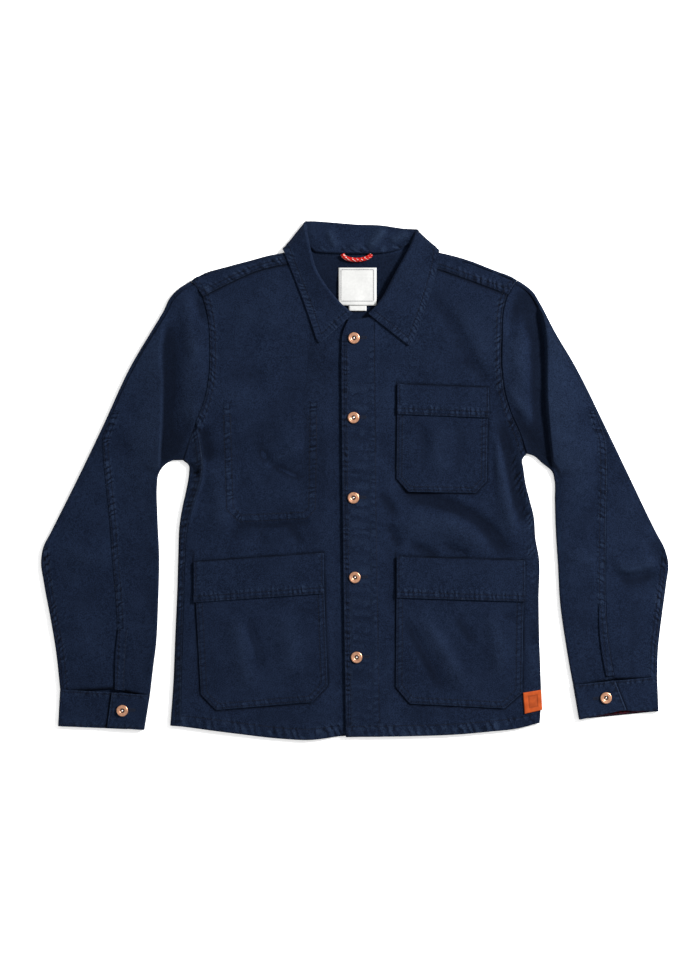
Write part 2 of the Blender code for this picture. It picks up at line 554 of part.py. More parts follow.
def across_lower(lower, first, last, count):
    """Points across a sleeve's lower face between two shares of its width, row by row."""
    known = np.linspace(0, 1, lower.shape[1])
    rows = []
    for row, line in enumerate(lower):
        ends = [value[row] if np.ndim(value) else value for value in (first, last)]
        wanted = np.linspace(*ends, count + 1)
        rows.append(np.stack([np.interp(wanted, known, line[:, k]) for k in range(2)], -1))
    return raised(np.array(rows), 0)


def make_sleeve(collection, side, tables):
    """The sleeve's upper and under pieces, a flattened tube from the armhole to the cuff."""
    outer_table, inner_table, arm_table, seam_table = tables
    sign = -1 if side == "right" else 1
    outer = spline(outer_table)
    outer = paced(stretch(outer, share_near(outer, arm_table[-1]), 1), OUTER_PACE)
    inner = paced(spline(inner_table[::-1]), INNER_PACE)
    arm = moved(spline(arm_table), -sign * SEAM / 3)
    arm_back = moved(armhole_back(spline(arm_table)), -sign * SEAM / 3)
    seam = paced(spline(seam_table), OUTER_PACE)
    along = np.linspace(0, 1, SLEEVE_ROWS + 1)
    inner_out, outer_out = -sign * left_of(inner, along), sign * left_of(outer, along)
    inner_out[0] = -(arm_back(0.02) - arm_back(0))[0] / np.linalg.norm(arm_back(0.02) - arm_back(0))
    outer_out[0] = shoulder_direction(spline(arm_table))
    inner_in, outer_in = moved(inner, sign * FOLD_RADIUS), moved(outer, -sign * FOLD_RADIUS)
    seam_start = share_near(arm, seam_table[0])

    upper = patch(stretch(arm, 0, seam_start), chord(inner_in(1), seam(1)),
                  inner_in, moved(seam, -sign * SEAM / 2), 8, SLEEVE_ROWS)
    strip = patch(stretch(arm, seam_start, 1), chord(seam(1), outer_in(1)),
                  moved(seam, sign * SEAM / 2), outer_in, 4, SLEEVE_ROWS)
    lower = patch(arm_back, chord(inner_in(1), outer_in(1)), inner_in, outer_in, 20, SLEEVE_ROWS)
    fold_share = FOLD_RADIUS / np.linalg.norm(arm_back(1) - arm_back(0))
    upper[0] = arm(np.linspace(fold_share, seam_start - 0.001, 9))
    strip[0] = arm(np.linspace(seam_start + 0.001, 1 - fold_share, 5))
    lower[0] = arm_back(np.linspace(fold_share, 1 - fold_share, 21))
    upper, strip = raised(upper, panel_top(upper)), raised(strip, panel_top(strip))
    inner_fold = fold_round(inner(along), inner_out, upper[:, 0, 2], 0)[:, ::-1]
    outer_fold = fold_round(outer(along), outer_out, strip[:, -1, 2], 0)

    under_seam = np.linspace(*UNDER_SEAM_SHARE, SLEEVE_ROWS + 1)
    gap = SEAM / 2 / np.linalg.norm(lower[:, -1] - lower[:, 0], axis=1)
    from_inner = across_lower(lower, under_seam - gap, 0, 4)
    from_outer = across_lower(lower, 1, under_seam + gap, 4)
    main_piece = np.concatenate([from_inner, inner_fold[:, 1:-1], upper], 1)
    narrow_piece = np.concatenate([strip, outer_fold[:, 1:-1], from_outer], 1)
    for name, grid in ((f"sleeve_upper_{side}", main_piece), (f"sleeve_under_{side}", narrow_piece)):
        cloth(collection, name, grid if side == "right" else grid[:, ::-1])


def make_cuff(collection, cuff):
    """A cuff laid flat: a strip round it whose upper end lies on its other end."""
    top_inner, top_outer = np.array(cuff["inner"]), np.array(cuff["outer"])
    top_overlap = top_inner + (top_outer - top_inner) * cuff["overlap"]
    rows = []
    for share in np.linspace(0, 1, CUFF_ROWS + 1):
        inner = top_inner + (np.array(cuff["low_inner"]) - top_inner) * share
        outer = top_outer + (np.array(cuff["low_outer"]) - top_outer) * share
        overlap = top_overlap + (np.array(cuff["low_overlap"]) - top_overlap) * share
        tuck = inner + (outer - inner) * TUCK_SHARE
        direction = (outer - inner) / np.linalg.norm(outer - inner)
        inner_in, outer_in = inner + direction * FOLD_RADIUS, outer - direction * FOLD_RADIUS
        over = chord(overlap, inner_in)(np.linspace(0, 1, 6))
        under = chord(inner_in, outer_in)(np.linspace(0, 1, 7))
        back = chord(outer_in, tuck)(np.linspace(0, 1, 8))
        rows.append(np.concatenate([
            raised(over[:-1], OVERLAP_TOP),
            fold_round(inner[None], -direction[None], OVERLAP_TOP, 0)[0],
            raised(under[1:-1], 0),
            fold_round(outer[None], direction[None], CUFF_TOP, 0)[0][::-1],
            raised(back[1:], CUFF_TOP)]))
    grid = np.array(rows)
    grid[:, :, 1] -= SEAM
    cloth(collection, f"cuff_{cuff['side']}", grid[:, ::-1] if cuff["side"] == "right" else grid, wall=DOUBLED)


def quad(corners, columns, rows):
    """Plan grid between four corners, given anticlockwise from the lower left one."""
    low_left, low_right, high_right, high_left = (np.array(corner, float) for corner in corners)
    return patch(polyline([low_left, low_right]), polyline([high_left, high_right]),
                 polyline([low_left, high_left]), polyline([low_right, high_right]), columns, rows)


def make_pocket(collection, pocket):
    """A patch pocket with cut-off lower corners, and the band across its top."""
    (left, right), (low_left, cut_left, cut_right, low_right) = pocket["top"], pocket["low"]
    under_band = 4
    bag = patch(polyline([low_left, cut_left, cut_right, low_right]), polyline([left, right]),
                polyline([low_left, left]), polyline([low_right, right]), 9, 8)
    bag_height = FLAT_TOP + LAY + CLOTH
    inside = bag[..., 1] < bag[-1, :, 1][None] - pocket["band"] - under_band
    ridges = np.maximum(fold_relief(bag, POCKET_FOLDS), 0) * inside
    cloth(collection, pocket["name"], raised(bag, bag_height + ridges))
    left, right = np.array(left, float), np.array(right, float)
    drop = np.array([0, -pocket["band"]])
    slack = np.array([1.5, 0])
    band = quad([left + drop, right + drop + slack, right + slack, left], 8, 3)
    face = bag_height + LAY - 0.1 + CLOTH
    cloth(collection, pocket["name"] + "_band", raised(band, face))


def make_inner_pocket(collection):
    """The pocket inside the right front, just under it."""
    low_left, cut_left, cut_right, low_right = INNER_POCKET["low"]
    left, right = INNER_POCKET["top"]
    bag = patch(polyline([low_left, cut_left, cut_right, low_right]), polyline([left, right]),
                polyline([low_left, left]), polyline([low_right, right]), 6, 5)
    cloth(collection, "inner_pocket", raised(bag, right_front_top(bag) - CLOTH - 1.3 * LAY), wall=1.0)


def make_trim(collection, name, corners, face, wall, look, columns=1, rows=1):
    """A small flat piece, its corners given anticlockwise from the lower left one."""
    cloth(collection, name, raised(quad(corners, columns, rows), face), wall=wall, look=look)


def collar_section(row):
    """Points across the collar from the fall's edge over the roll to the neck seam."""
    edge, roll, neck = row[0:3], row[3:6], row[6:9]
    facing, turn, radius = np.radians(row[9]), np.radians(row[10]), row[11]
    out = np.array([np.cos(facing), np.sin(facing), 0])
    side = np.array([-np.sin(facing), np.cos(facing), 0]) * np.cos(turn) + np.array([0, 0, np.sin(turn)])
    centre = roll - out * radius
    swing = np.radians(np.linspace(90, -90, COLLAR_ARC + 1))
    arc = [centre + radius * (np.cos(angle) * out + np.sin(angle) * side) for angle in swing]
    fall = []
    for k in range(FALL_STEPS):
        share = k / FALL_STEPS
        point = edge + (arc[0] - edge) * share
        point[2] = edge[2] + (arc[0][2] - edge[2]) * share ** 2
        fall.append(point)
    stand = []
    for k in range(1, NECK_STEPS + 1):
        share = k / NECK_STEPS
        point = arc[-1] + (neck - arc[-1]) * share
        stand.append(point)
    return np.array(fall + arc + stand)


def make_collar(collection):
    table = np.array([[*row["edge"], *row["roll"], *row["neck"], row["facing"], row["turn"], row["radius"]]
                      for row in COLLAR])
    knots = np.arange(len(table))
    stations = np.linspace(0, len(table) - 1, COLLAR_STATIONS + 1)
    slopes = np.gradient(table, axis=0)
    sections = []
    for station in stations:
        first = min(int(station), len(table) - 2)
        s = station - knots[first]
        row = ((2 * s ** 3 - 3 * s ** 2 + 1) * table[first] + (s ** 3 - 2 * s ** 2 + s) * slopes[first]
               + (3 * s ** 2 - 2 * s ** 3) * table[first + 1] + (s ** 3 - s ** 2) * slopes[first + 1])
        sections.append(collar_section(row))
    cloth(collection, "collar", np.array(sections), wall=DOUBLED)


def make_button(collection, name, x, y, base):
    """Tack button: a domed ring round a sunken centre with its pin."""
    profile = [  # radius and height, from the pin's top outwards and down to the base
        (0, 2.6), (1.5, 2.3), (1.7, 1.2), (2.6, 1.1), (3.4, 2.6), (6.4, 3.2), (8.2, 2.4),
        (BUTTON_RADIUS, 1.2), (7.6, 0), (0, 0)]
    mesh = bpy.data.meshes.new(name)
    outline = bmesh.new()
    corners = [outline.verts.new((radius * MM, 0, height * MM)) for radius, height in profile]
    for first, second in zip(corners, corners[1:]):
        outline.edges.new((first, second))
    outline.to_mesh(mesh)
    outline.free()
    item = place(collection, name, mesh, "copper")
    item.location = (x * MM, y * MM, base * MM)
    turned = item.modifiers.new("turned", "SCREW")
    turned.steps = turned.render_steps = BUTTON_SIDES
    turned.use_merge_vertices = True
    turned.merge_threshold = 0.0001
    turned.use_smooth_shade = True


def make_loop(collection):
    """Hanger loop of round cord, both ends in the neck seam."""
    run = spline(LOOP)(np.linspace(0, 1, 15))
    curve = bpy.data.curves.new("hanger_loop", "CURVE")
    curve.dimensions = "3D"
    line = curve.splines.new("POLY")
    line.points.add(len(run) - 1)
    height = NECK_LIFT + CLOTH + SEAM + LOOP_RADIUS
    for point, (x, y) in zip(line.points, run):
        point.co = (x * MM, y * MM, height * MM, 1)
    curve.bevel_depth = LOOP_RADIUS * MM
    curve.bevel_resolution = 2
    curve.use_fill_caps = True
    place(collection, "hanger_loop", curve, "cord")


def main():
    clear_scene()
    collection = bpy.data.collections.new("chore_jacket")
    bpy.context.scene.collection.children.link(collection)
    make_back(collection)
    make_yoke(collection)
    make_front_right(collection)
    make_front_left(collection)
    make_collar(collection)
    make_sleeve(collection, "right", (OUTER_RIGHT, INNER_RIGHT, ARMHOLE_RIGHT, SEAM_A_RIGHT))
    make_sleeve(collection, "left", (OUTER_LEFT, INNER_LEFT, ARMHOLE_LEFT, SEAM_A_LEFT))
    for cuff in CUFFS:
        make_cuff(collection, cuff)
    for pocket in POCKETS:
        make_pocket(collection, pocket)
    make_inner_pocket(collection)
    for strip in SLEEVE_PLACKETS:
        make_trim(collection, f"sleeve_placket_{strip['side']}", strip["corners"],
                  FLAT_TOP + LAY + CLOTH, CLOTH, "twill", 1, 3)
    inside = NECK_LIFT + CLOTH + SEAM + LABEL_WALL
    make_trim(collection, "neck_label", LABEL, inside, LABEL_WALL, "label")
    make_trim(collection, "size_tab", SIZE_TAB, inside, LABEL_WALL, "label")
    make_trim(collection, "leather_patch", LEATHER_PATCH, FLAT_TOP + LAY + LEATHER_WALL, LEATHER_WALL, "leather")
    for number, button in enumerate(BUTTONS, 1):
        make_button(collection, f"button_{number}", button["x"], button["y"], PLACKET_TOP + SEAM)
    for button in CUFF_BUTTONS:
        make_button(collection, f"cuff_button_{button['side']}", button["x"], button["y"], OVERLAP_TOP + SEAM)
    make_loop(collection)


main()
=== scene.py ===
"""Looks of the chore jacket laid flat: its cloth, stitching, buttons and trims, light and camera.

Tables are in millimetres, in the frame's own axes: +Z is up from the surface that the jacket
lies on, +Y runs towards the collar and +X to the wearer's left.
"""

import bpy
import numpy as np
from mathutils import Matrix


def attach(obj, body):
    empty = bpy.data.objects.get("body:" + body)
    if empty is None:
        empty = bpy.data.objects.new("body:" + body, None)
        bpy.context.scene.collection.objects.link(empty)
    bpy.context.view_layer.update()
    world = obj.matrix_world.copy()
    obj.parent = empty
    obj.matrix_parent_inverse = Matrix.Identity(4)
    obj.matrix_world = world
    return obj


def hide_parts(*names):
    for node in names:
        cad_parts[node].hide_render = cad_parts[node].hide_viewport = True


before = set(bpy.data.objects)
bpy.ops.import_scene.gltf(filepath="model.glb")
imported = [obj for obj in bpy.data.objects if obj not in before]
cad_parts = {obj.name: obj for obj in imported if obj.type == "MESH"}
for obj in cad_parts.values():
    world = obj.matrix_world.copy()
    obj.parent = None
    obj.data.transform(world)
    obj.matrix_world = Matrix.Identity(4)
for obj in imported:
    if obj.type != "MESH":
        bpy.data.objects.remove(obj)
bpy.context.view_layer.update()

MM = 0.001
CLOTH = 1.4             # wall of one ply of twill
DOUBLED = 1.8           # wall of a collar or cuff, two plies pressed together
SEAM = 0.3              # gap left between two pieces at a seam
LAY = 0.5               # gap left under a piece that lies on a panel
FOLD_RADIUS = 3.2       # half width of a soft fold at the garment's edge
FOLD_STEPS = 8
FLAT_TOP = 6.4          # face of a front or sleeve where it lies flat on the back
LEAST_TOP = 3.5         # face of a front at the bottom of its deepest trough
PLACKET_TOP = 6.6
STAND_TOP = 3.5         # face of the button stand, under the placket
STAND_SLOPE = (-46, -24)  # x between which the right front slopes down to it
PLACKET_RISE = 0.5      # the placket's face stands up this much more
NECK_LIFT = 2.2         # the yoke lies this high where the collar's fall is under it
NECK_MIDDLE = 9         # x of the middle of that part
FALL_REACH = (121, 150)  # its lift dies away between these distances from there
FALL_FRONT = (292, 318)  # and grows between these y
WRAP = 12               # the left front goes round the side to this far under the jacket
EDGE_STEP = 1.0         # a piece's last rows of points lie this close to its edge
GRID = 3.0              # spacing of a panel's points
FINE_GRID = 1.9         # and of a small piece's

# Left and right below are the wearer's: the right side is at -X.
OUTER_RIGHT = [  # shoulder from the neck to the armhole, then the sleeve's outer edge
    (-71.5, 349), (-88, 344.5), (-106, 341), (-130, 336.5), (-158, 329), (-186, 321.5),
    (-231, 307), (-244.5, 299),
    (-261, 289), (-276, 274), (-286.5, 253), (-304.5, 223), (-333, 175), (-378, 79),
    (-412.5, 7), (-454.5, -77), (-466.5, -101), (-469.5, -119), (-465, -155), (-456, -203),
    (-447, -257), (-441, -312)]
OUTER_LEFT = [
    (86.5, 349.5), (104, 345), (128, 341), (148, 336.5), (176, 328), (204, 317),
    (229.5, 307), (244, 300),
    (255, 293), (267, 283), (277.5, 266), (300, 223), (328.5, 175), (376.5, 79),
    (411, 7), (451.5, -77), (465.5, -104), (470.3, -124), (467, -155), (460.5, -203),
    (454.5, -257), (453.5, -293)]
INNER_RIGHT = [  # from the cuff along the sleeve's inner edge to the underarm
    (-306, -320), (-301.5, -281), (-297, -245), (-294, -185), (-292.5, -113), (-295, -53),
    (-295.5, -5), (-294, 8), (-287, 20), (-275, 29), (-257, 30.5)]
INNER_LEFT = [
    (327, -305), (322.5, -281), (316.5, -245), (308, -185), (304.5, -125), (301.5, -77),
    (300, -29), (299.5, 0), (296.5, 12), (281, 26), (268, 37), (258, 40)]
SIDE_RIGHT = [  # from the hem to the underarm
    (-276, -367), (-271.5, -305), (-268.5, -233), (-265.5, -164), (-264, -113), (-262, -66),
    (-258, -41), (-252, -14), (-248, 10), (-248, 22), (-257, 30.5)]
SIDE_LEFT = [
    (277.5, -363.5), (279.5, -336), (278.5, -281), (277, -239), (276, -179), (276, -113),
    (271.5, -89), (268.5, -53), (262.5, -29), (256.5, -5), (253, 19), (251.5, 31), (258, 40)]
ARMHOLE_RIGHT = [  # front seam, from the underarm to the shoulder
    (-257, 30.5), (-247.5, 58), (-236, 90), (-227, 113), (-221, 136), (-217, 170),
    (-217, 211), (-219, 239), (-223.5, 260), (-228, 275), (-244.5, 299)]
ARMHOLE_LEFT = [
    (258, 40), (248.5, 69), (234.5, 101), (225.5, 131), (221, 166), (221, 211), (222, 246),
    (224.5, 262), (230, 278), (244, 300)]
FELLED_SEAM = [  # where the back, brought round to the front, is felled to the right front
    (-260, -368), (-260, -329), (-258, -254), (-256, -179), (-254, -119), (-250.5, -74),
    (-241.5, -37), (-230, 0), (-227, 23), (-229.5, 49), (-237.2, 86)]
YOKE_SEAM_RIGHT = [(-228, 275), (-186, 296), (-141, 315), (-106.5, 323), (-71.5, 331)]
YOKE_SEAM_LEFT = [(84, 331), (129, 315), (174, 299), (230, 278)]
NECK_RIGHT = [  # front neckline, from the yoke seam to the edge of the button stand
    (-71.5, 331), (-67.5, 316), (-61, 300), (-51, 281), (-32, 259), (-8, 243), (27, 238)]
NECK_LEFT = [  # from the placket's corner to the yoke seam
    (-9, 242), (14, 243), (34, 249), (53, 266), (67.5, 288), (79.5, 311), (84, 331)]
NECK_BACK = [
    (-71, 347), (-63, 340.5), (-50, 338), (-21, 337), (28, 337), (58, 339.5), (73, 344), (86, 349.5)]
PLACKET_EDGE = [(-13, -384), (-16, -200), (-18.5, 0), (-19.5, 120), (-19.5, 200), (-17.5, 222), (-9, 242)]
STAND_EDGE = [(27, -381), (27, 238)]
HEM_RIGHT = [
    (-276, -367), (-231, -371), (-171, -379), (-111, -386), (-66, -388), (-21, -383),
    (27, -381)]
HEM_LEFT = [
    (-13, -384), (69, -383), (114, -382), (159, -380), (204, -376), (249, -371), (277.5, -363.5)]
BACK_SEAM_Y = 226       # back yoke seam
BACK_SEAM_RISE = 4      # it rises this much at its middle
PLACKET_WIDTH = 52

SEAM_A_RIGHT = [  # seam between the sleeve pieces on the upper face, shoulder to cuff
    (-240.4, 293), (-257.5, 284.5), (-271, 270.5), (-281.5, 250.5), (-299.8, 220.3), (-328.3, 172.2),
    (-369.5, 84), (-377.5, 62), (-376.5, 40), (-373.5, 8), (-368, -44), (-362, -122), (-357, -179),
    (-355, -227), (-360, -307)]
SEAM_A_LEFT = [
    (240.2, 294), (251.5, 288), (262.5, 279), (272.5, 263.5), (295.2, 220.5), (323.8, 172), (368.5, 83),
    (375.5, 62), (377.5, 30), (377.5, -7), (376, -60), (375.5, -119), (376, -183), (379.5, -240),
    (389, -293)]
SLEEVE_CAP = 9 / 21     # share of a sleeve's rows that fan out from the armhole to the elbow side
INNER_PACE = ((0, SLEEVE_CAP, 1), (0, 0.13, 1))  # where rows meet the inner edge
OUTER_PACE = ((0, SLEEVE_CAP, 1), (0, 0.5, 1))   # and where they meet the outer one
SIDES = {  # outer and inner edges, front armhole, upper sleeve seam and yoke seam; sign of x
    "right": (OUTER_RIGHT, INNER_RIGHT, ARMHOLE_RIGHT, SEAM_A_RIGHT, YOKE_SEAM_RIGHT, -1),
    "left": (OUTER_LEFT, INNER_LEFT, ARMHOLE_LEFT, SEAM_A_LEFT, YOKE_SEAM_LEFT, 1)}
UNDER_SEAM_SHARE = (0.42, 0.9)  # seam on the lower face, from inner to outer edge, at its ends

CUFF_TOP = 6.2
OVERLAP_TOP = 8.6
TUCK_SHARE = 0.2        # share of a cuff's width at which its covered end stops
CUFFS = [  # inner and outer top corners, inner and outer bottom corners, overlap's low corner and
           # the share of the top, from inner to outer, that the overlapping end covers, and how far
           # the covered end's low corner is drawn up
    dict(side="right", inner=(-306, -320.5), outer=(-441, -312.5), low_inner=(-314.5, -373),
         low_outer=(-444, -367.5), low_overlap=(-370, -369), overlap=0.422, tuck_rise=0),
    dict(side="left", inner=(327, -305.5), outer=(453.5, -293.5), low_inner=(336, -357.5),
         low_outer=(455.5, -345.5), low_overlap=(406, -342), overlap=0.495, tuck_rise=13),
]
CUFF_CORNERS = ("inner", "outer", "low_inner", "low_outer")
SLEEVE_PLACKETS = [  # corners, anticlockwise from the lower left one, and how far the middle bows out
    dict(side="right", corners=[(-358, -313), (-344, -314), (-339, -224), (-353.5, -222)], bow=2.5),
    dict(side="left", corners=[(376.5, -293), (388.5, -292), (375.5, -185), (365.5, -187)], bow=3.5),
]
POCKETS = [  # patch pockets: corners of the bag from its top left clockwise, band's height
    dict(name="pocket_chest", top=[(64, 144), (199.5, 138.5)], band=45,
         low=[(62.5, 3), (80.5, -17), (180.5, -19), (197.5, -1)]),
    dict(name="pocket_lower_left", top=[(63, -114), (253.5, -120)], band=61.5,
         low=[(61.5, -309), (83, -334), (224, -341), (250.5, -317.5)]),
    dict(name="pocket_lower_right", top=[(-240.5, -122), (-47.5, -108.5)], band=60.5,
         low=[(-230, -320), (-207, -343.5), (-63.5, -331.5), (-40.5, -306.5)]),
]
INNER_POCKET = dict(top=[(-196.5, 97), (-56, 97)],
                    low=[(-192, -44), (-173, -62.5), (-72, -58), (-58, -43.5)])

# Soft folds: each one's height (troughs below 0), how far it fades to the left and to the right of
# its direction, points along it, and the shares of its length over which its ends die away.
FOLDS = [
    (3.6, 2.0, 32, [(-282, 253), (-289.5, 203), (-288.7, 140), (-290.2, 83), (-293.5, 14)], 0.3, 0.04),
    (-4.6, 24, 2.6, [(-275, 252), (-284.5, 203), (-284, 140), (-285.5, 83), (-289.5, 22)], 0.3, 0.1),
    (2.6, 22, 22, [(-232, 236), (-246, 170), (-252, 110), (-262, 60)]),
    (3.8, 34, 2.0, [(264, 289.5), (279, 255.7), (287.2, 210.7), (288, 165.7), (288.7, 120.7),
     (291.7, 83), (295.5, 45.7), (299, 8)], 0.15, 0.03),
    (-5.4, 2.8, 22, [(254, 291), (272, 255.7), (280.5, 210.7), (282, 165.7), (282.7, 120.7),
     (285.7, 83), (290, 45.7), (295, 16)], 0.15, 0.08),
    (2.4, 18, 18, [(236, 246), (246, 190), (252, 130), (262, 86)]),
    (-4.6, 7, 13, [(218, 92), (228, 54), (237, 16), (246, -30), (256, -76)]),
    (3.6, 9, 16, [(206, 84), (216, 40), (223, -4), (232, -50), (240, -96)]),
    (-4.2, 7, 15, [(58, -8), (90, -20), (129, -30), (184, -56), (226, -98), (242, -116)]),
    (2.4, 16, 22, [(46, -62), (88, -64), (129, -66), (176, -88), (206, -112)]),
    (1.7, 20, 8, [(129, 280), (170, 220), (206, 150)]),
    (-1.0, 14, 9, [(112, 286), (148, 226), (176, 166)]),
    (-1.6, 8, 8, [(159, 185), (182, 166), (202, 146)]),
    (1.1, 14, 22, [(-150, 272), (-176, 215), (-196, 150)]),
    (2.0, 18, 14, [(-214, 30), (-203, -30), (-206, -86)]),
    (-3.6, 11, 5, [(-231, 84), (-225, 54), (-220, 24)]),
    (2.4, 3, 6, [(-234, 78), (-231.5, 45), (-228, 12), (-238, -28), (-253, -72)]),
    (-4.5, 4, 4, [(-249, 25), (-241, 15), (-233, 8)], 0.1, 0.1),
    (-2.2, 6, 9, [(34, -14), (50, -34), (64, -60)]),
    (-2.0, 8, 6, [(46, -64), (56, -80), (66, -102)]),
    (-2.2, 5, 9, [(78, -92), (102, -102), (130, -114)]),
    (-1.8, 5, 9, [(128, -94), (150, -102), (176, -114)]),
    (-2.2, 6, 7, [(-146, 58), (-128, 28), (-100, 12), (-70, 0)]),
    (-1.7, 5, 8, [(-180, -10), (-157, 6), (-134, 24)]),
    (-1.8, 4, 6, [(-180, -67), (-122, -66.5), (-66, -62)], 0.1, 0.1),
    (2.2, 9, 8, [(-72, 60), (-122, 28), (-180, -8)]),
    (-1.5, 6, 6, [(-100, -66), (-88, -82), (-78, -98)]),
    (-1.1, 6, 7, [(-146, -70), (-138, -84), (-130, -100)]),
    (-0.9, 7, 7, [(-190, -84), (-170, -78), (-150, -84)]),
    (1.4, 12, 14, [(-440, -100), (-400, -118), (-350, -112)]),
    (3.4, 7, 14, [(455, -120), (420, -134), (384, -132)]),
    (-2.0, 8, 11, [(452, -138), (418, -150), (390, -146)]),
    (1.2, 10, 12, [(366, -124), (340, -118), (312, -108)]),
    (1.6, 20, 22, [(340, 100), (335, 20), (330, -60)]),
    (1.5, 22, 20, [(-330, 100), (-322, 20), (-318, -60)]),
    (-2.2, 6, 7, [(232, 112), (256, 74), (284, 40)]),
    (1.8, 9, 9, [(226, 150), (246, 112), (276, 82)]),
    (-1.4, 7, 7, [(-246, 96), (-262, 62), (-284, 44)]),
    (1.6, 12, 10, [(-232, 170), (-250, 230), (-246, 282)]),
    (-1.6, 6, 8, [(-222, 232), (-234, 262), (-244, 288)]),
    (-1.8, 8, 8, [(232, 200), (240, 250), (250, 282)]),
    (-0.9, 9, 8, [(-356, 60), (-340, 40), (-312, 30)]),
]
POCKET_FOLDS = [
    (-1.2, 9, 7, [(-160, -198), (-156, -226), (-147, -252), (-142, -290)]),
    (2.4, 13, 16, [(-182, -196), (-172, -250), (-158, -318)]),
    (1.7, 16, 18, [(-112, -190), (-100, -250), (-92, -300)]),
    (-0.8, 6, 8, [(-92, -186), (-70, -196), (-52, -192)]),
    (-1.9, 6, 7, [(70, -196), (92, -240), (118, -290), (134, -322)]),
    (2.6, 10, 16, [(92, -192), (130, -250), (166, -318)]),
    (-1.5, 6, 7, [(150, -200), (166, -226), (182, -246)]),
    (2.0, 12, 12, [(202, -192), (212, -250), (214, -300)]),
    (-0.9, 5, 5, [(222, -196), (232, -206), (246, -208)]),
    (1.3, 15, 15, [(128, 84), (124, 40), (132, 4)]),
    (-0.8, 9, 9, [(152, 92), (158, 50), (150, 10)]),
    (-0.7, 9, 9, [(98, 90), (104, 44), (98, 6)]),
]
COVERED = [  # a panel lies flat under what it carries: lowest and highest x and y
    dict(x=(62, 205), y=(-20, 145)), dict(x=(62, 254), y=(-342, -114)),
    dict(x=(-240, -40), y=(-343, -108)), dict(x=(-108, 126), y=(200, 360)),
    dict(x=(-392, -338), y=(-330, -222)), dict(x=(355, 405), y=(-310, -188))]
STEADY = [dict(x=(-21, 30), y=(-390, 245))]  # the placket is stiff and lies flat too
FLAT_MARGIN = 10

# The collar, section by section from its right front end round the neck to its left one.
# Each row: outer edge of the fall, tip of the roll and neck seam, each (x, y, z); direction in plan
# that the roll points; turn, where 90 has the fall on top and -90 under; radius of the roll.
COLLAR = [
    ((-54, 203, 8.8), (-2, 250, 8.2), (-5, 247, 6.8), 50, 90, 1.6),
    ((-60, 221, 8.8), (-12, 258, 8.8), (-17, 253, 6.2), 48, 90, 2.8),
    ((-69, 248, 8.8), (-22.5, 268, 9.6), (-30, 262, 5.9), 46, 90, 3.8),
    ((-81, 281, 8.8), (-42, 291, 10.0), (-49, 285, 5.9), 36, 90, 4.2),
    ((-92, 309, 8.8), (-56, 314, 10.0), (-62, 307, 5.9), 24, 90, 4.2),
    ((-101, 331, 8.8), (-63, 336, 9.8), (-66, 325, 5.9), 14, 88, 4.0),
    ((-105.5, 342, 8.6), (-69, 362, 9.2), (-67.5, 337, 5.9), 14, 80, 3.6),
    ((-107, 345, 6.6), (-72.5, 378, 7.8), (-68, 344, 5.4), 55, 40, 3.0),
    ((-107.5, 346, 4.4), (-74, 387, 5.0), (-67.5, 349, 4.8), 98, 0, 2.4),
    ((-101, 344, 0.5), (-69, 388, 3.2), (-64, 347, 4.6), 92, -55, 2.4),
    ((-88, 334, 0.2), (-58, 388.1, 2.6), (-57, 342, 4.6), 90, -90, 2.5),
    ((-44, 328, 0.2), (-36, 386.8, 3.2), (-34, 340, 4.8), 90, -90, 3.2),
    ((4, 326, 0.2), (4, 383.6, 3.6), (4, 339.3, 5.0), 90, -90, 3.6),
    ((54, 327, 0.2), (42, 381.6, 3.4), (38, 340, 4.8), 90, -90, 3.4),
    ((96, 333, 0.2), (72, 377.8, 2.7), (62, 344, 4.7), 89, -90, 2.7),
    ((116.5, 344.5, 0.5), (87, 377, 3.2), (73, 349.5, 4.6), 88, -125, 2.4),
    ((125.5, 345.5, 4.4), (94.5, 376, 5.0), (80, 354, 4.8), 80, -180, 2.4),
    ((126.5, 343, 7.6), (91, 371, 7.8), (81.5, 349, 5.4), 120, -222, 3.0),
    ((126, 336, 8.75), (85.5, 358, 9.2), (81.5, 340, 5.9), 160, -260, 3.6),
    ((124.5, 321, 8.8), (79, 344, 9.8), (79.5, 330, 5.9), 160, -268, 4.0),
    ((120, 302, 8.8), (68, 324, 10.0), (75.5, 315, 5.9), 154, -270, 4.2),
    ((113, 278, 8.8), (57, 303, 10.0), (63.5, 297, 5.9), 150, -270, 4.2),
    ((104, 251, 8.8), (43, 277, 10.0), (52, 273, 5.9), 142, -270, 4.2),
    ((95, 226, 8.8), (31.5, 261, 9.2), (38, 257, 6.0), 136, -270, 3.4),
    ((84, 199, 8.8), (20, 250, 8.2), (25, 248.5, 6.8), 130, -270, 1.6),
]
BUTTON_RADIUS = 8.8
BUTTON_SIDES = 32
BUTTONS = [(-0.8, 213), (-1.5, 94), (-1.6, -26), (0.5, -145), (3.2, -264.5)]  # neck to hem
CUFF_BUTTONS = {"right": (-347, -344), "left": (376, -325)}

CUFF_LINING = [(341, -355.6), (446, -345.2), (444, -331), (352, -341)]
LABEL = [(-24, 262), (33, 262), (33, 318.5), (-24, 318.5)]
LABEL_FRAME = (-20.2, 268.5, 28.3, 315.5)  # lowest x and y, highest x and y
SIZE_TAB = [(-8.5, 254), (18, 254), (18, 261.5), (-8.5, 261.5)]
LEATHER_PATCH = [(254.5, -349), (281, -343), (279.5, -313), (252, -317.5)]
LABEL_WALL = 0.8
LEATHER_WALL = 1.6
LOOP = [
    (-18, 338.3), (-16.5, 335.2), (-12, 332.4), (-5, 330.6), (3, 330), (12, 330.8), (19, 333.2),
    (23.5, 336), (25, 338.3)]
LOOP_RADIUS = 3.2

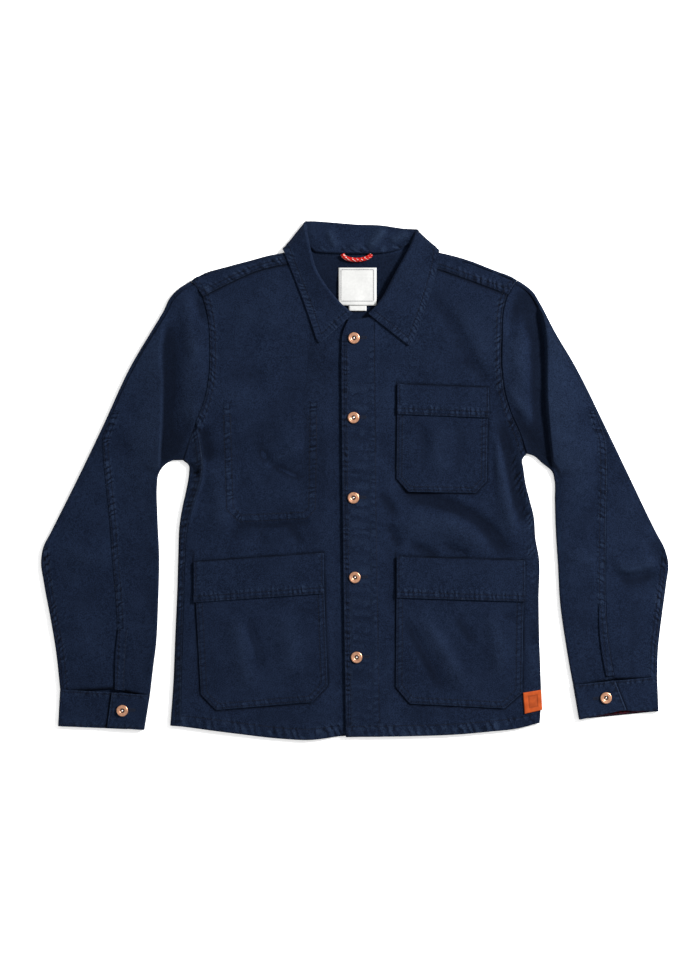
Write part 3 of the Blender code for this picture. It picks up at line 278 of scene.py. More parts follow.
ALLOWANCE = 14          # width of an armhole's seam allowances
ALLOWANCE_TOP = 2.35
ALLOWANCE_WALL = 0.6
INNER_POCKET_TOP = 4.2
INNER_POCKET_WALL = 0.9
LINING_WALL = 0.7
CUFF_SLACK = 0.8        # height of the swells in a cuff
POCKET_SLACK = 0.6      # and in a pocket
DEEPEST_POCKET = -1.0   # a pocket's hollows reach no lower
BAND_RISE = 0.2         # a band's face stands this much above two plies
STRIP_RISE = 0.2        # and a sleeve placket's above one
UNDER_CREASES = 0.6     # height of the creases on the hidden face
UNDER_FLAT = 0.25       # lower ones than this lie flat
HEM_RAISED = 1          # the back's hem lies this far above the fronts'
SLEEVE_END_WIDTH = 0.955  # share of its width that a sleeve's end keeps inside the cuff
SLEEVE_END_DEPTH = 4.5    # how far it reaches in
SLEEVE_END_HEIGHTS = (2.0, 4.2)

RELIEF = 1.8            # how strongly the fold tables' heights are drawn
SLACK = 2.4             # height of the slack cloth's swells
SWELL_PAINTED_LIGHT = 0.03           # painted light: how much paler the cloth is coloured for each millimetre that it stands up
HOLLOW_PAINTED_SHADE = 0.15        # and painted shade: how much darker for each millimetre that it sinks
DARKEST_PAINTED_SHADE = 0.6           # and no more than this
CREASE_PAINTED_SHADE = 0.9           # painted shade along the pockets' edges, the yoke seams and a cuff's overlapping end
NECK_DARKENING = 0.4      # how much darker the cloth inside the neck is coloured
NECK_DARKENING_MIDDLE = 5      # x of that cloth's middle
NECK_DARKENING_REACH = (45, 100)  # it fades out between these distances from there
NECK_DARKENING_FRONT = (230, 262)  # and between these y
SEWN_EDGE_PAINTED_SHADE = 0.75            # painted shade that darkens a piece along its edges that are sewn under another
RIM = 0.45              # and the paleness that wear gives its turned ones
PANEL_LENGTH = 720
SLEEVE_LENGTH = 640
UNDERARM = 14 / 24      # share of a body panel's rows that lie below the underarm
FELLED_BELOW = 14 / 17  # and of the felled seam's
WING_COLUMNS = 66
NECK_COLUMNS = 60
COLLAR_STATIONS = 260
COLLAR_ARC = 10
FALL_STEPS = 38
NECK_STEPS = 14
NECK_WORK = dict(band=9, height=1.0, period=15, slant=0.3)
COLLAR_WORK = dict(band=11, lift=0.35, height=0.75, period=6.6, slant=0.5, rows=(9.5,))
BLUNT = 9               # the collar's points are rounded off over this length
STAND_FOLDS = [  # slack in the collar's stand inside the neck
    (2.3, 5, 8, [(47, 377), (36, 364), (21, 345)]),
    (1.8, 5, 7, [(84, 369), (66, 362), (52, 356)]),
    (1.5, 7, 5, [(-40, 378), (-34, 360), (-26, 346)]),
    (1.2, 4, 4, [(-4, 352), (4, 349), (12, 347)]),
]
STITCH_PITCH = 3.4
STITCH_LENGTH = 2.7
STITCH_RADIUS = 0.3
STITCH_RISE = (-0.25, 0.12, -0.25)
BARTACK_BOXES = [  # lowest and highest x, lowest and highest y
    (-195.5, -185, 68, 97.5), (-70, -57, 68, 97.5)]
BUTTONHOLE = (7.0, 17.4)  # where its stitches begin and end, from the button's middle
BUTTONHOLE_PITCH = 0.62
BUTTONHOLE_WIDTH = 2.3  # reach of its stitches to each side
BUTTON_PROFILE = [
    (3.0, 1.0), (3.3, 2.3), (3.8, 2.75), (5.6, 3.0), (5.9, 2.8), (6.2, 3.05), (7.6, 3.1), (8.4, 2.6),
    (BUTTON_RADIUS, 1.5), (8.2, 0.5), (7.6, 0)]
WELL_PROFILE = [(0, 1.05), (2.0, 1.05), (3.3, 1.3)]
PIN_PROFILE = [(0, 2.5), (0.7, 2.4), (1.25, 2.0), (1.5, 1.4), (1.55, 0.9)]
WALE = 0.0009
TWILL_DARK = (0.0018, 0.0037, 0.0100)
TWILL_LIGHT = (0.0062, 0.0112, 0.0262)
# paler colour of worn edges and pucker crests, and of the painted light on swells and collar creases
TWILL_WORN_AND_LIT = (0.016, 0.027, 0.052)
# darkened colour of painted shade in hollows, creases, along seams, in pucker creases and stitch grooves,
# and of the darker cloth inside the neck
TWILL_DARKENED = (0.0010, 0.0019, 0.0048)
THREAD_DARK = (0.0030, 0.0045, 0.0090)
THREAD_LIGHT = (0.0110, 0.0135, 0.0240)
GREY_DARK = (0.05, 0.05, 0.055)
GREY_LIGHT = (0.1, 0.1, 0.105)
LINING_DARK = (0.006, 0.0006, 0.0012)
LINING_LIGHT = (0.05, 0.0025, 0.006)
LABEL_DARK = (0.32, 0.32, 0.315)
LABEL_LIGHT = (0.4, 0.4, 0.39)
WELL_DARK = (0.02, 0.018, 0.016)
WELL_LIGHT = (0.06, 0.05, 0.045)
STEEL_DARK = (0.5, 0.5, 0.5)
STEEL_LIGHT = (0.75, 0.74, 0.72)
COPPER_DARK = (0.42, 0.2, 0.12)
COPPER_LIGHT = (0.6, 0.33, 0.21)
LEATHER_DARK = (0.2, 0.031, 0.006)
LEATHER_LIGHT = (0.29, 0.050, 0.010)
LEATHER_PRESSED = (0.07, 0.015, 0.006)
CORD_DARK = (0.22, 0.006, 0.005)
CORD_RED = (0.33, 0.010, 0.008)
CORD_FLECK = (0.36, 0.34, 0.31)
WORLD_STRENGTH = 0.85
KEY_POWER = 325.0
KEY_SIZE = 0.62
KEY_AT = (2.51, 1.37, 2.18)
KEY_TURN = (0.0, 0.92, 0.5)
CAMERA_AT = (-0.00675, -0.0143, 3.0)
CAMERA_LENS = 73.5
FLOOR_REACH = 20.0      # in metres, like its height
FLOOR_AT = -0.0008


def smoothstep(value, start, end):
    share = np.clip((value - start) / (end - start), 0, 1)
    return share * share * (3 - 2 * share)


def window(value, start, full, waning, end):
    """0 before the start and after the end, 1 in the middle."""
    return smoothstep(value, start, full) * (1 - smoothstep(value, waning, end))


def bell(value, centre, width):
    return np.exp(-((value - centre) / width) ** 2)


def unit(vectors):
    return vectors / np.linalg.norm(vectors, axis=-1, keepdims=True)


def quarter_turn(ahead):
    """Plan vectors turned to their left."""
    return np.stack([-ahead[..., 1], ahead[..., 0]], -1)


def hermite(s, low, high, low_slope, high_slope):
    """Cubic between two rows of numbers that leaves and reaches them with the given slopes."""
    return ((2 * s ** 3 - 3 * s ** 2 + 1) * low + (s ** 3 - 2 * s ** 2 + s) * low_slope
            + (3 * s ** 2 - 2 * s ** 3) * high + (s ** 3 - s ** 2) * high_slope)


def travelled(run):
    """Distance along a row of points from its first one."""
    return np.concatenate([[0], np.cumsum(np.linalg.norm(np.diff(run, axis=0), axis=1))])


def spline(rows):
    """Smooth curve through rows of numbers, as a function of the share 0 to 1 of its length."""
    points = np.array(rows, float)
    knots = travelled(points[:, :2])
    knots = knots / knots[-1]
    slopes = np.gradient(points, knots, axis=0)

    def at(share):
        share = np.clip(np.atleast_1d(share), 0, 1)
        first = np.clip(np.searchsorted(knots, share, side="right") - 1, 0, len(knots) - 2)
        width = np.diff(knots)[first][:, None]
        s = (share - knots[first])[:, None] / width
        return hermite(s, points[first], points[first + 1], width * slopes[first], width * slopes[first + 1])
    return at


def polyline(rows, knots=None):
    """Straight runs through rows of points, with equal shares for each run or with given knots."""
    points = np.array(rows, float)
    knots = np.linspace(0, 1, len(points)) if knots is None else knots
    return lambda share: np.stack([np.interp(np.atleast_1d(share), knots, axis) for axis in points.T], -1)


def stretch(curve, first, last):
    """The stretch of a curve between two shares of it."""
    return lambda share: curve(first + (last - first) * np.asarray(share))


def joined(first, second, share_of_first):
    """Two curves end to end; the first takes the given share, and a step between them fades out."""
    def at(share):
        share = np.atleast_1d(share)
        early = first(np.minimum(share / share_of_first, 1))
        late = second(np.maximum((share - share_of_first) / (1 - share_of_first), 0))
        left_over = 1 - smoothstep(share, share_of_first, share_of_first + 0.05)
        late = late + left_over[:, None] * (first(1) - second(0))
        return np.where((share <= share_of_first + 1e-9)[:, None], early, late)
    return at


def reverse(curve):
    return lambda share: curve(1 - np.asarray(share))


def left_of(curve, share):
    """Unit vectors in plan to the left of a curve's direction of travel."""
    share = np.atleast_1d(share)
    ahead = curve(np.minimum(share + 0.01, 1)) - curve(np.maximum(share - 0.01, 0))
    return quarter_turn(unit(ahead))


def moved(curve, distance):
    """A curve shifted in plan, to the left of its direction of travel."""
    return lambda share: curve(share) + distance * left_of(curve, share)


def paced(curve, pace):
    """A curve travelled by a table of pace: shares of the rows, and of the curve, at its knots."""
    return lambda share: curve(np.interp(np.atleast_1d(share), *pace))


def share_near(curve, point):
    """The share of a curve that lies nearest to a point in plan."""
    shares = np.linspace(0, 1, 2001)
    return shares[np.argmin(np.linalg.norm(curve(shares) - np.array(point), axis=1))]


def patch(bottom, top, left, right, columns, rows):
    """Plan points spread smoothly between four edges, as an array of rows by columns."""
    across, up = (np.asarray(share, float) if np.ndim(share) else np.linspace(0, 1, share + 1)
                  for share in (columns, rows))
    u, v = across[None, :, None], up[:, None, None]
    low, high = bottom(across)[None], top(across)[None]
    near, far = left(up)[:, None], right(up)[:, None]
    corners = ((1 - u) * (1 - v) * low[:, :1] + u * (1 - v) * low[:, -1:]
               + (1 - u) * v * high[:, :1] + u * v * high[:, -1:])
    return (1 - v) * low + v * high + (1 - u) * near + u * far - corners


def plate(top, low, columns, rows, knots=None):
    """Plan grid between a straight top edge and a lower edge of one or more straight runs."""
    return patch(polyline(low, knots), polyline(top), polyline([low[0], top[0]]),
                 polyline([low[-1], top[-1]]), columns, rows)


def quad(corners, columns, rows):
    """Plan grid between four corners, given anticlockwise from the lower left one."""
    low_left, low_right, high_right, high_left = corners
    return plate([high_left, high_right], [low_left, low_right], columns, rows)


def sewn(at, side, band, lift, rows, height, period, slant, **more):
    """What the stitching does to the cloth beside a seam or an edge.

    side: 1 where the worked cloth is to the left of the seam's direction.  band: width of the
    doubled cloth.  lift: how far it stands up.  rows: distances of the stitch rows.  height,
    period, slant: its puckers.  span: the stretch that is stitched, if it isn't the whole.
    """
    return dict(at=at, side=side, band=band, lift=lift, rows=rows, height=height, period=period,
                slant=slant, **more)


def pocket_outline(pocket):
    """A pocket's sides and bottom, from its top left corner round to its top right one."""
    left, right = pocket["top"]
    return [left, *pocket["low"], right]


def band_corners(pocket):
    """Corners of a pocket's band, anticlockwise from the lower left one."""
    left, right = (np.array(corner, float) for corner in pocket["top"])
    drop, slack = np.array([0, -pocket["band"]]), np.array([1.5, 0])
    return [left + drop, right + drop + slack, right + slack, left]


RUN_SHARES = np.linspace(0, 1, 401)
INNER_OUTLINE = pocket_outline(INNER_POCKET)
UNDER_EDGE_RIGHT = [(-466.5, -119), (-462, -155), (-453, -203), (-444, -257), (-438.5, -311)]
UNDER_EDGE_LEFT = [(467, -124), (464, -155), (457.5, -203), (451.5, -257), (450.5, -292)]
WORK = {
    "front_left": [
        sewn(HEM_LEFT, 1, 17, 0.9, (16,), 0.9, 13, 0.35),
        sewn(PLACKET_EDGE[:-2], -1, 9.5, 0.5, (3.4, 8.2), 0.85, 8.6, 0.1),
        sewn([(39, -384), (36, -200), (33, 0), (32, 120), (31, 222)], 1, 9, 0.3, (1.6,), 0.5, 9.4, 0.1),
        sewn([(-16, -310), (-17, -200), (-18.5, 0), (-19, 66)], -1, 44, 0, (), 0.35, 17, 0.12),
        sewn(ARMHOLE_LEFT, 1, 10.5, 0.9, (2.4, 8.8), 1.05, 9.6, 0.75, span=(0.02, 0.92)),
        sewn(SIDE_LEFT[6:], 1, 15, 0, (), 0.9, 10, 0.9),
        sewn([(277, -330), (276, -179), (272, -100)], 1, 10, 0, (), 0.35, 11, 0.6),
    ],
    "front_right": [
        sewn(HEM_RIGHT, 1, 17, 0.9, (16,), 0.9, 13, 0.35, span=(0.06, 0.8)),
        sewn(ARMHOLE_RIGHT, -1, 10.5, 0.9, (2.4, 8.8), 0.8, 9.6, 0.75, span=(0.24, 0.92)),
        sewn(INNER_OUTLINE, 1, 11, 0.6, (0.5, 10.5), 0.8, 8.5, 0.2, straight=True),
        sewn([(-196, 99), (-127, 99), (-57, 99)], -1, 6, 0.3, (), 0.1, 30, 0),
    ],
    "back": [
        sewn(FELLED_SEAM, 1, 11, 0.5, (2.2, 7.6), 1.0, 9.4, 0.5, span=(0.03, 0.93)),
        sewn([(-276, -367), (-262, -368)], 1, 17, 0.6, (), 0.3, 11, 0.6),
    ],
    "yoke": [
        sewn(YOKE_SEAM_RIGHT, 1, 11, 1.3, (2.2, 8), 1.0, 9.2, 0.5, span=(0.02, 0.99)),
        sewn(YOKE_SEAM_LEFT, 1, 11, 1.3, (2.2, 8), 1.0, 9.2, 0.5, span=(0.01, 0.98)),
        sewn(ARMHOLE_RIGHT[-3:], -1, 10, 0.6, (2.4, 8.8), 0.6, 9.6, 0.6, span=(0.25, 0.9)),
        sewn(ARMHOLE_LEFT[-3:], 1, 10, 0.6, (2.4, 8.8), 0.6, 9.6, 0.6, span=(0.25, 0.9)),
    ],
    "sleeve_upper_right": [
        sewn(SEAM_A_RIGHT[6:], 1, 10.5, 0.7, (2.2, 8.6), 1.05, 9.4, 0.5, span=(0.03, 0.75)),
    ],
    "sleeve_upper_left": [
        sewn(SEAM_A_LEFT[6:], -1, 11.5, 0.7, (2.2, 9.4), 1.05, 9.4, 0.5, span=(0.03, 0.7)),
    ],
    "sleeve_under_right": [
        sewn(UNDER_EDGE_RIGHT, 1, 10, 0.4, (2, 8.4), 1.1, 9.6, 0.8),
    ],
    "sleeve_under_left": [
        sewn(UNDER_EDGE_LEFT, -1, 10, 0.4, (2, 8.4), 1.1, 9.6, 0.8),
    ],
}
for pocket in POCKETS:
    low_left, low_right, high_right, high_left = band_corners(pocket)
    rows = (2.6, 9.5) if pocket["band"] > 50 else (2.6, 8.2)
    edge = (1, 9, 0.2, (3,), 0.4, 9, 0.3)
    WORK[pocket["name"]] = [sewn(pocket_outline(pocket), 1, 10, 0.35, rows, 0.5, 8.5, 0.3, straight=True)]
    WORK[pocket["name"] + "_band"] = [
        sewn([low_left, low_right], 1, 13, 0.5, (2.6, 9), 0.75, 7.8, 0.1, straight=True),
        sewn([high_left, low_left], *edge, straight=True),
        sewn([low_right, high_right], *edge, straight=True)]
for cuff in CUFFS:
    corners = [cuff[key] for key in CUFF_CORNERS]
    towards = 1 if cuff["side"] == "right" else -1
    top_overlap = np.array(corners[0]) + (np.array(corners[1]) - corners[0]) * cuff["overlap"]
    small = (7, 0.3, (3,), 0.7, 9.5, 0.2)
    WORK["cuff_" + cuff["side"]] = [
        sewn(corners[:2], towards, *small, straight=True),
        sewn(corners[2:], -towards, *small, straight=True),
        sewn([top_overlap, cuff["low_overlap"]], towards, *small, straight=True, over=True)]
for strip in SLEEVE_PLACKETS:
    low_left, low_right, high_right, high_left = strip["corners"]
    edge = (5, 0.3, (2.2,), 0.7, 8, 0.4)
    WORK["sleeve_placket_" + strip["side"]] = [
        sewn([low_left, high_left], -1, *edge, straight=True),
        sewn([low_right, high_right], 1, *edge, straight=True)]


def chord(first, second):
    """Straight run between two points in plan."""
    return lambda share: first + (second - first) * np.atleast_1d(share)[:, None]


def steps(length, spacing=GRID):
    """Shares along a piece of that length, with one more close to each end."""
    count = max(round(length / spacing), 2)
    close = EDGE_STEP / length
    return np.unique(np.concatenate([np.linspace(0, 1, count + 1), [close, 1 - close]]))


def along(plan, run, reach):
    """Which points are near a run, their distance to its left, and their length along it."""
    near = np.flatnonzero(((plan >= run.min(0) - reach) & (plan <= run.max(0) + reach)).all(1))
    ahead = unit(np.gradient(run, axis=0))
    closest = np.concatenate([
        np.argmin(((part[:, None] - run) ** 2).sum(-1), 1)
        for part in np.array_split(plan[near], len(near) // 20000 + 1)]) if len(near) else near
    apart, ahead = plan[near] - run[closest], ahead[closest]
    return near, (quarter_turn(ahead) * apart).sum(1), travelled(run)[closest] + (apart * ahead).sum(1)


def fold_relief(plan, folds):
    """Height of the soft folds in a table at points in plan."""
    flat = plan.reshape(-1, 2)
    relief = np.zeros(len(flat))
    for height, left, right, at, *ends in folds:
        run = spline(at)(np.linspace(0, 1, 90))
        near, off, length = along(flat, run, 2.2 * max(left, right))
        total = travelled(run)[-1]
        share = length / total
        beyond = np.maximum(np.maximum(-share, share - 1), 0) * total
        first, last = ends or (0.25, 0.25)
        fade = smoothstep(share, -0.02, first) * smoothstep(1 - share, -0.02, last)
        width = np.where(off > 0, left, right)
        relief[near] += RELIEF * height * fade * np.exp(-(off / width) ** 2 - (beyond / 8) ** 2)
    return relief.reshape(plan.shape[:-1])


def noise(plan, size, seed):
    """Smooth noise from -1 to 1 whose bumps are about that size."""
    lattice = np.random.default_rng(seed).uniform(-1, 1, (64, 64))
    cell = plan / size
    low = np.floor(cell).astype(int)
    u, v = np.moveaxis(smoothstep(cell - low, 0, 1), -1, 0)
    (i, j), (up, over) = np.moveaxis(low % 64, -1, 0), np.moveaxis((low + 1) % 64, -1, 0)
    near = lattice[i, j] * (1 - u) + lattice[up, j] * u
    far = lattice[i, over] * (1 - u) + lattice[up, over] * u
    return near * (1 - v) + far * v


def rumple(plan, seed=3):
    """Slack in flat cloth: broad low swells with smaller ones on them."""
    skewed = plan + 9 * np.stack([noise(plan, 47, seed + 5), noise(plan, 53, seed + 6)], -1)
    return (0.55 * noise(skewed, 58, seed) + 0.3 * noise(skewed, 26, seed + 1)
            + 0.13 * noise(skewed, 12, seed + 2))


def pucker_turns(length, depth, row):
    """How many puckers lie before a place along a seam, uneven in their spacing."""
    place = (length + row["slant"] * depth) / row["period"]
    return place + 0.2 * np.sin(place * 1.17 + 2) + 0.14 * np.sin(place * 2.71 + row["band"])


def stitch_offset(depth, rows):
    """Distance from the nearest stitch row, of one or two, whose sign changes at each."""
    if not rows:
        return np.full(len(depth), 9.0)
    if len(rows) == 1:
        return depth - rows[0]
    return (depth - rows[0]) * (depth - rows[1]) / (rows[1] - rows[0])


def run_of(row):
    curve = polyline if row.get("straight") else spline
    return curve(row["at"])(RUN_SHARES)


def seam_work(plan, piece, over=False):
    """Height that a piece's seams and edges add at points in plan, and the marks they leave:
    wear and painted shade, turns of the puckers, distance to a stitch row, and the puckers' strength."""
    flat = plan.reshape(-1, 2)
    height, marks = np.zeros(len(flat)), np.zeros((len(flat), 4))
    marks[:, 3] = -1
    for row in WORK.get(piece, []):
        if row.get("over") and not over:
            continue
        band = row["band"]
        near, off, length = along(flat, run_of(row), 1.8 * band)
        depth = off * row["side"]
        doubled = window(depth, -0.5, 0.8, band - 1, band + 2)
        turns = pucker_turns(length, depth, row)
        strength = row["height"] * window(depth, -1, 2, 0.85 * band, 1.3 * band)
        height[near] += row["lift"] * doubled + 0.55 * strength * np.sin(2 * np.pi * turns)
        won = strength > marks[near, 3]
        found = np.stack([0 * depth, turns, stitch_offset(depth, row["rows"]), strength], -1)
        marks[near[won]] = found[won]
    marks[:, 3] = marks[:, 3].clip(0)
    return height.reshape(plan.shape[:-1]), marks.reshape(*plan.shape[:-1], 4)


def flatness(plan, zones):
    """0 in the zones where a panel lies flat, 1 away from them."""
    free = np.ones(plan.shape[:-1])
    for zone in zones:
        outside = [np.maximum(zone[key][0] - plan[..., axis], plan[..., axis] - zone[key][1])
                   for axis, key in enumerate("xy")]
        free = np.minimum(free, smoothstep(np.maximum(*outside), 0, FLAT_MARGIN))
    return free


def with_painted_fold_shading(marks, swells):
    """Marks with painted shade in the slack cloth's hollows and a little painted light on its swells."""
    change = np.maximum(np.where(swells > 0, SWELL_PAINTED_LIGHT, HOLLOW_PAINTED_SHADE) * swells, -DARKEST_PAINTED_SHADE)
    return marks + change[..., None] * np.array([1, 0, 0, 0])


def painted_crease_shade(plan):
    """Painted shade that darkens a front in the creases along its pockets' edges and under the yoke's."""
    flat = plan.reshape(-1, 2)
    kept = np.zeros(len(flat))
    outlines = [pocket_outline(pocket) for pocket in POCKETS]
    edges = [polyline([*outline, outline[0]]) for outline in outlines]
    for edge in (*edges, spline(YOKE_SEAM_RIGHT), spline(YOKE_SEAM_LEFT)):
        run = edge(np.linspace(0, 1, 801))
        near, off, _ = along(flat, run, 6)
        kept[near] = np.maximum(kept[near], CREASE_PAINTED_SHADE * bell(off, -1.2, 1.7))
    return kept.reshape(plan.shape[:-1])


def panel_top(plan, piece):
    """Height of the upper face of a front, yoke or sleeve, and its marks of wear, painted light and painted
    shade.
    """
    free = flatness(plan, COVERED + STEADY)
    folds = fold_relief(plan, FOLDS)
    swells = np.where(folds > 0, folds * free, folds) + SLACK * rumple(plan) * (0.3 + 0.7 * free)
    height, marks = seam_work(plan, piece)
    if piece.startswith("front"):
        # painted shade along the pockets' and the yoke's edges
        marks[..., 0] -= painted_crease_shade(plan)
    floor = FLAT_TOP - LEAST_TOP
    settled = np.where(swells < 0, -floor * (1 - np.exp(np.minimum(swells, 0) / floor)), swells)
    # the marks get painted light on the swells and painted shade in the hollows
    return FLAT_TOP + settled + height * (0.3 + 0.7 * flatness(plan, COVERED)), with_painted_fold_shading(marks, swells)


def front_right_top(plan):
    """The right front slopes down to its button stand, under the placket."""
    height, wear = panel_top(plan, "front_right")
    return height - (FLAT_TOP - STAND_TOP) * smoothstep(plan[..., 0], *STAND_SLOPE), wear


def front_left_top(plan):
    """The left front's placket lies a little proud of the panel."""
    height, wear = panel_top(plan, "front_left")
    band = 1 - smoothstep(plan[..., 0] - PLACKET_EDGE[2][0], PLACKET_WIDTH, PLACKET_WIDTH + 2)
    return height + (PLACKET_TOP - FLAT_TOP + PLACKET_RISE) * band, wear


def yoke_bottom(plan):
    """Height of the yoke's lower face: it lies on the collar's fall near the neck."""
    near_x = 1 - smoothstep(np.abs(plan[..., 0] - NECK_MIDDLE), *FALL_REACH)
    near_y = smoothstep(plan[..., 1], *FALL_FRONT)
    return NECK_LIFT * near_x * near_y


def raised(plan, height):
    """Plan points with their heights."""
    return np.concatenate([plan, np.broadcast_to(height, plan.shape[:-1])[..., None]], -1)


def fold_round(edge, outward, top, bottom):
    """Points round a soft fold from its upper to its lower face, one row for each edge point."""
    turn = np.radians(np.linspace(90, -90, FOLD_STEPS + 1))
    reach = FOLD_RADIUS * (np.cos(turn) - 1)
    plan = edge[:, None] + outward[:, None] * reach[None, :, None]
    top, bottom = (np.broadcast_to(value, len(edge))[:, None] for value in (top, bottom))
    return raised(plan, (top + bottom) / 2 + (top - bottom) / 2 * np.sin(turn)[None])


def smooth_mesh(name, points, faces):
    """A smooth mesh from points in millimetres."""
    mesh = bpy.data.meshes.new(name)
    mesh.from_pydata((points.reshape(-1, 3) * MM).tolist(), [], faces.reshape(-1, 4).tolist())
    mesh.shade_smooth()
    return mesh


def linked(name, data):
    """A new object in the scene."""
    item = bpy.data.objects.new(name, data)
    bpy.context.scene.collection.objects.link(item)
    return item


def piece_object(name, data, look, slot, *nodes):
    """Puts a mesh or curve in the scene as a piece of the jacket that stands for those nodes."""
    data.materials.append(look)
    item = linked(name, data)
    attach(item, "root")
    if nodes:
        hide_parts(*nodes)
    return item


def cloth(name, grid, marks=None, wall=CLOTH, look=None, slot="twill", node=None):
    """A sheet of cloth: its outer face through a grid of points, and its wall inside that.

    The face's normal points out where columns run to the right of rows.  Points that are not
    numbers leave a part of the grid out.
    """
    rows, columns = grid.shape[:2]
    corner = np.arange(rows * columns).reshape(rows, columns)
    faces = np.stack([corner[:-1, :-1], corner[:-1, 1:], corner[1:, 1:], corner[1:, :-1]], -1).reshape(-1, 4)
    there = ~np.isnan(grid).any(-1).ravel()
    faces = faces[there[faces].all(1)]
    used, faces = np.unique(faces, return_inverse=True)
    mesh = smooth_mesh(name, grid.reshape(-1, 3)[used], faces)
    weave = mesh.uv_layers.new(name="weave")
    lengths = [np.nanmedian(np.linalg.norm(np.diff(grid, axis=axis), axis=-1)) * MM for axis in (1, 0)]
    row, column = used // columns, used % columns
    place = np.stack([column * lengths[0], row * lengths[1]], -1)
    weave.data.foreach_set("uv", place[faces.ravel()].ravel())
    if marks is not None:
        marks = np.nan_to_num(marks).reshape(rows * columns, -1)[used]
        if look is None:
            edge = (column % (columns - 1) == 0) | (row % (rows - 1) == 0)
            # worked, turned edges get paler from wear; every other edge of the piece gets painted shade
            marks[edge, 0] += np.where(marks[edge, 3] > 0.05, RIM, -SEWN_EDGE_PAINTED_SHADE)
            seam = mesh.attributes.new("seam", "FLOAT_VECTOR", "POINT")
            seam.data.foreach_set("vector", marks[:, 1:].ravel())
        worn_and_shaded = mesh.attributes.new("wear", "FLOAT", "POINT")
        worn_and_shaded.data.foreach_set("value", marks[:, 0])
    item = piece_object(name + "_cloth", mesh, look or twill, slot, *([name] if node is None else node))
    solid = item.modifiers.new("wall", "SOLIDIFY")
    solid.thickness = wall * MM
    solid.offset = -1
    return item


def padded_marks(grid, wear, rows, columns):
    """Marks for a whole grid where only the block that starts at that row and column has any."""
    whole = np.zeros((*grid.shape[:2], 4))
    whole[rows:rows + wear.shape[0], columns:columns + wear.shape[1]] = wear
    return whole


def rows_of_panel():
    """Row shares of a body panel: the solids' underarm share is one of them."""
    below, above = steps(PANEL_LENGTH * UNDERARM), steps(PANEL_LENGTH * (1 - UNDERARM))
    below, above = np.delete(below, -2), np.delete(above, [0, 1])
    return np.concatenate([below * UNDERARM, UNDERARM + above * (1 - UNDERARM)]), below


def padded_rows(grid, rows):
    """A grid made up to a number of rows, the added points left out."""
    missing = np.full((rows - grid.shape[0], *grid.shape[1:]), np.nan)
    return np.concatenate([grid, missing], 0)


def armhole_back(front_seam):
    """The back armhole seam: straight from the underarm to the shoulder."""
    return polyline([front_seam(0)[0], front_seam(1)[0]])


def back_share(seam):
    """The share of a back armhole seam that lies below the back yoke seam."""
    return share_near(seam, np.array([seam(0)[0, 0], BACK_SEAM_Y]))


def shoulder_direction(front_seam):
    """Direction in plan in which both armhole seams, taken together, reach the shoulder."""
    return unit(sum(unit(seam(1)[0] - seam(0.98)[0]) for seam in (front_seam, armhole_back(front_seam))))


def underside(plan):
    """The lower face lies flat but for low creases that lift it off the surface."""
    return np.maximum(UNDER_CREASES * rumple(plan, 11) - UNDER_FLAT, 0)


def make_back():
    """Flat back panel; on the right it wraps round the side to the felled seam."""
    shares, below = rows_of_panel()
    hem = [(x, y + HEM_RAISED) for x, y in HEM_RIGHT[:-1] + HEM_LEFT[1:]]
    arms = {}
    for side, front in (("right", ARMHOLE_RIGHT), ("left", ARMHOLE_LEFT)):
        seam = armhole_back(spline(front))
        arms[side] = moved(stretch(seam, 0, back_share(seam)), SEAM if side == "left" else -SEAM)
    left_side = moved(spline(SIDE_LEFT), FOLD_RADIUS + WRAP + SEAM)
    right_side = moved(spline(SIDE_RIGHT), -FOLD_RADIUS)
    seam_points = [arms["left"](1)[0], (0, BACK_SEAM_Y + BACK_SEAM_RISE), arms["right"](1)[0]]
    under = patch(spline(hem[::-1]), spline(seam_points), joined(left_side, arms["left"], UNDERARM),
                  joined(right_side, arms["right"], UNDERARM), steps(540, 8), shares)
    side, front_arm = spline(SIDE_RIGHT), spline(ARMHOLE_RIGHT)
    tip = share_near(front_arm, FELLED_SEAM[-1])
    up = np.concatenate([below * FELLED_BELOW, np.linspace(FELLED_BELOW, 1, 25)[1:]])
    outer = joined(right_side, moved(stretch(front_arm, 0.04, tip), -SEAM), FELLED_BELOW)
    felled = moved(spline(FELLED_SEAM), SEAM / 2)
    upper = patch(chord(outer(0), felled(0)), chord(outer(1), felled(1)), outer, felled,
                  steps(16, FINE_GRID), up)
    height, wear = eased_top(upper, "back", 0)
    around = fold_round(side(below), left_of(side, below), height[:len(below), 0], 0)[:, ::-1]
    count = max(len(shares), len(up))
    parts = [padded_rows(part, count) for part in (
        raised(under, underside(under)), around[:, 1:-1], raised(upper, height))]
    grid = np.concatenate(parts, 1)
    cloth("back", grid, padded_marks(grid, wear, 0, grid.shape[1] - wear.shape[1]))


def make_front_right():
    felled = moved(spline(FELLED_SEAM), -SEAM / 2)
    arm = spline(ARMHOLE_RIGHT)
    first, last = share_near(arm, FELLED_SEAM[-1]), share_near(arm, YOKE_SEAM_RIGHT[0])
    arm = moved(stretch(arm, first, last), -1.5 * SEAM)
    side = joined(felled, arm, UNDERARM / FELLED_BELOW)
    top = joined(spline([(x, y - 1.3 * SEAM) for x, y in YOKE_SEAM_RIGHT]), spline(NECK_RIGHT), 0.58)
    plan = patch(spline([(max(x, -260), y) for x, y in HEM_RIGHT]), top, side,
                 polyline(STAND_EDGE), steps(280), steps(PANEL_LENGTH))
    laid("front_right", plan)


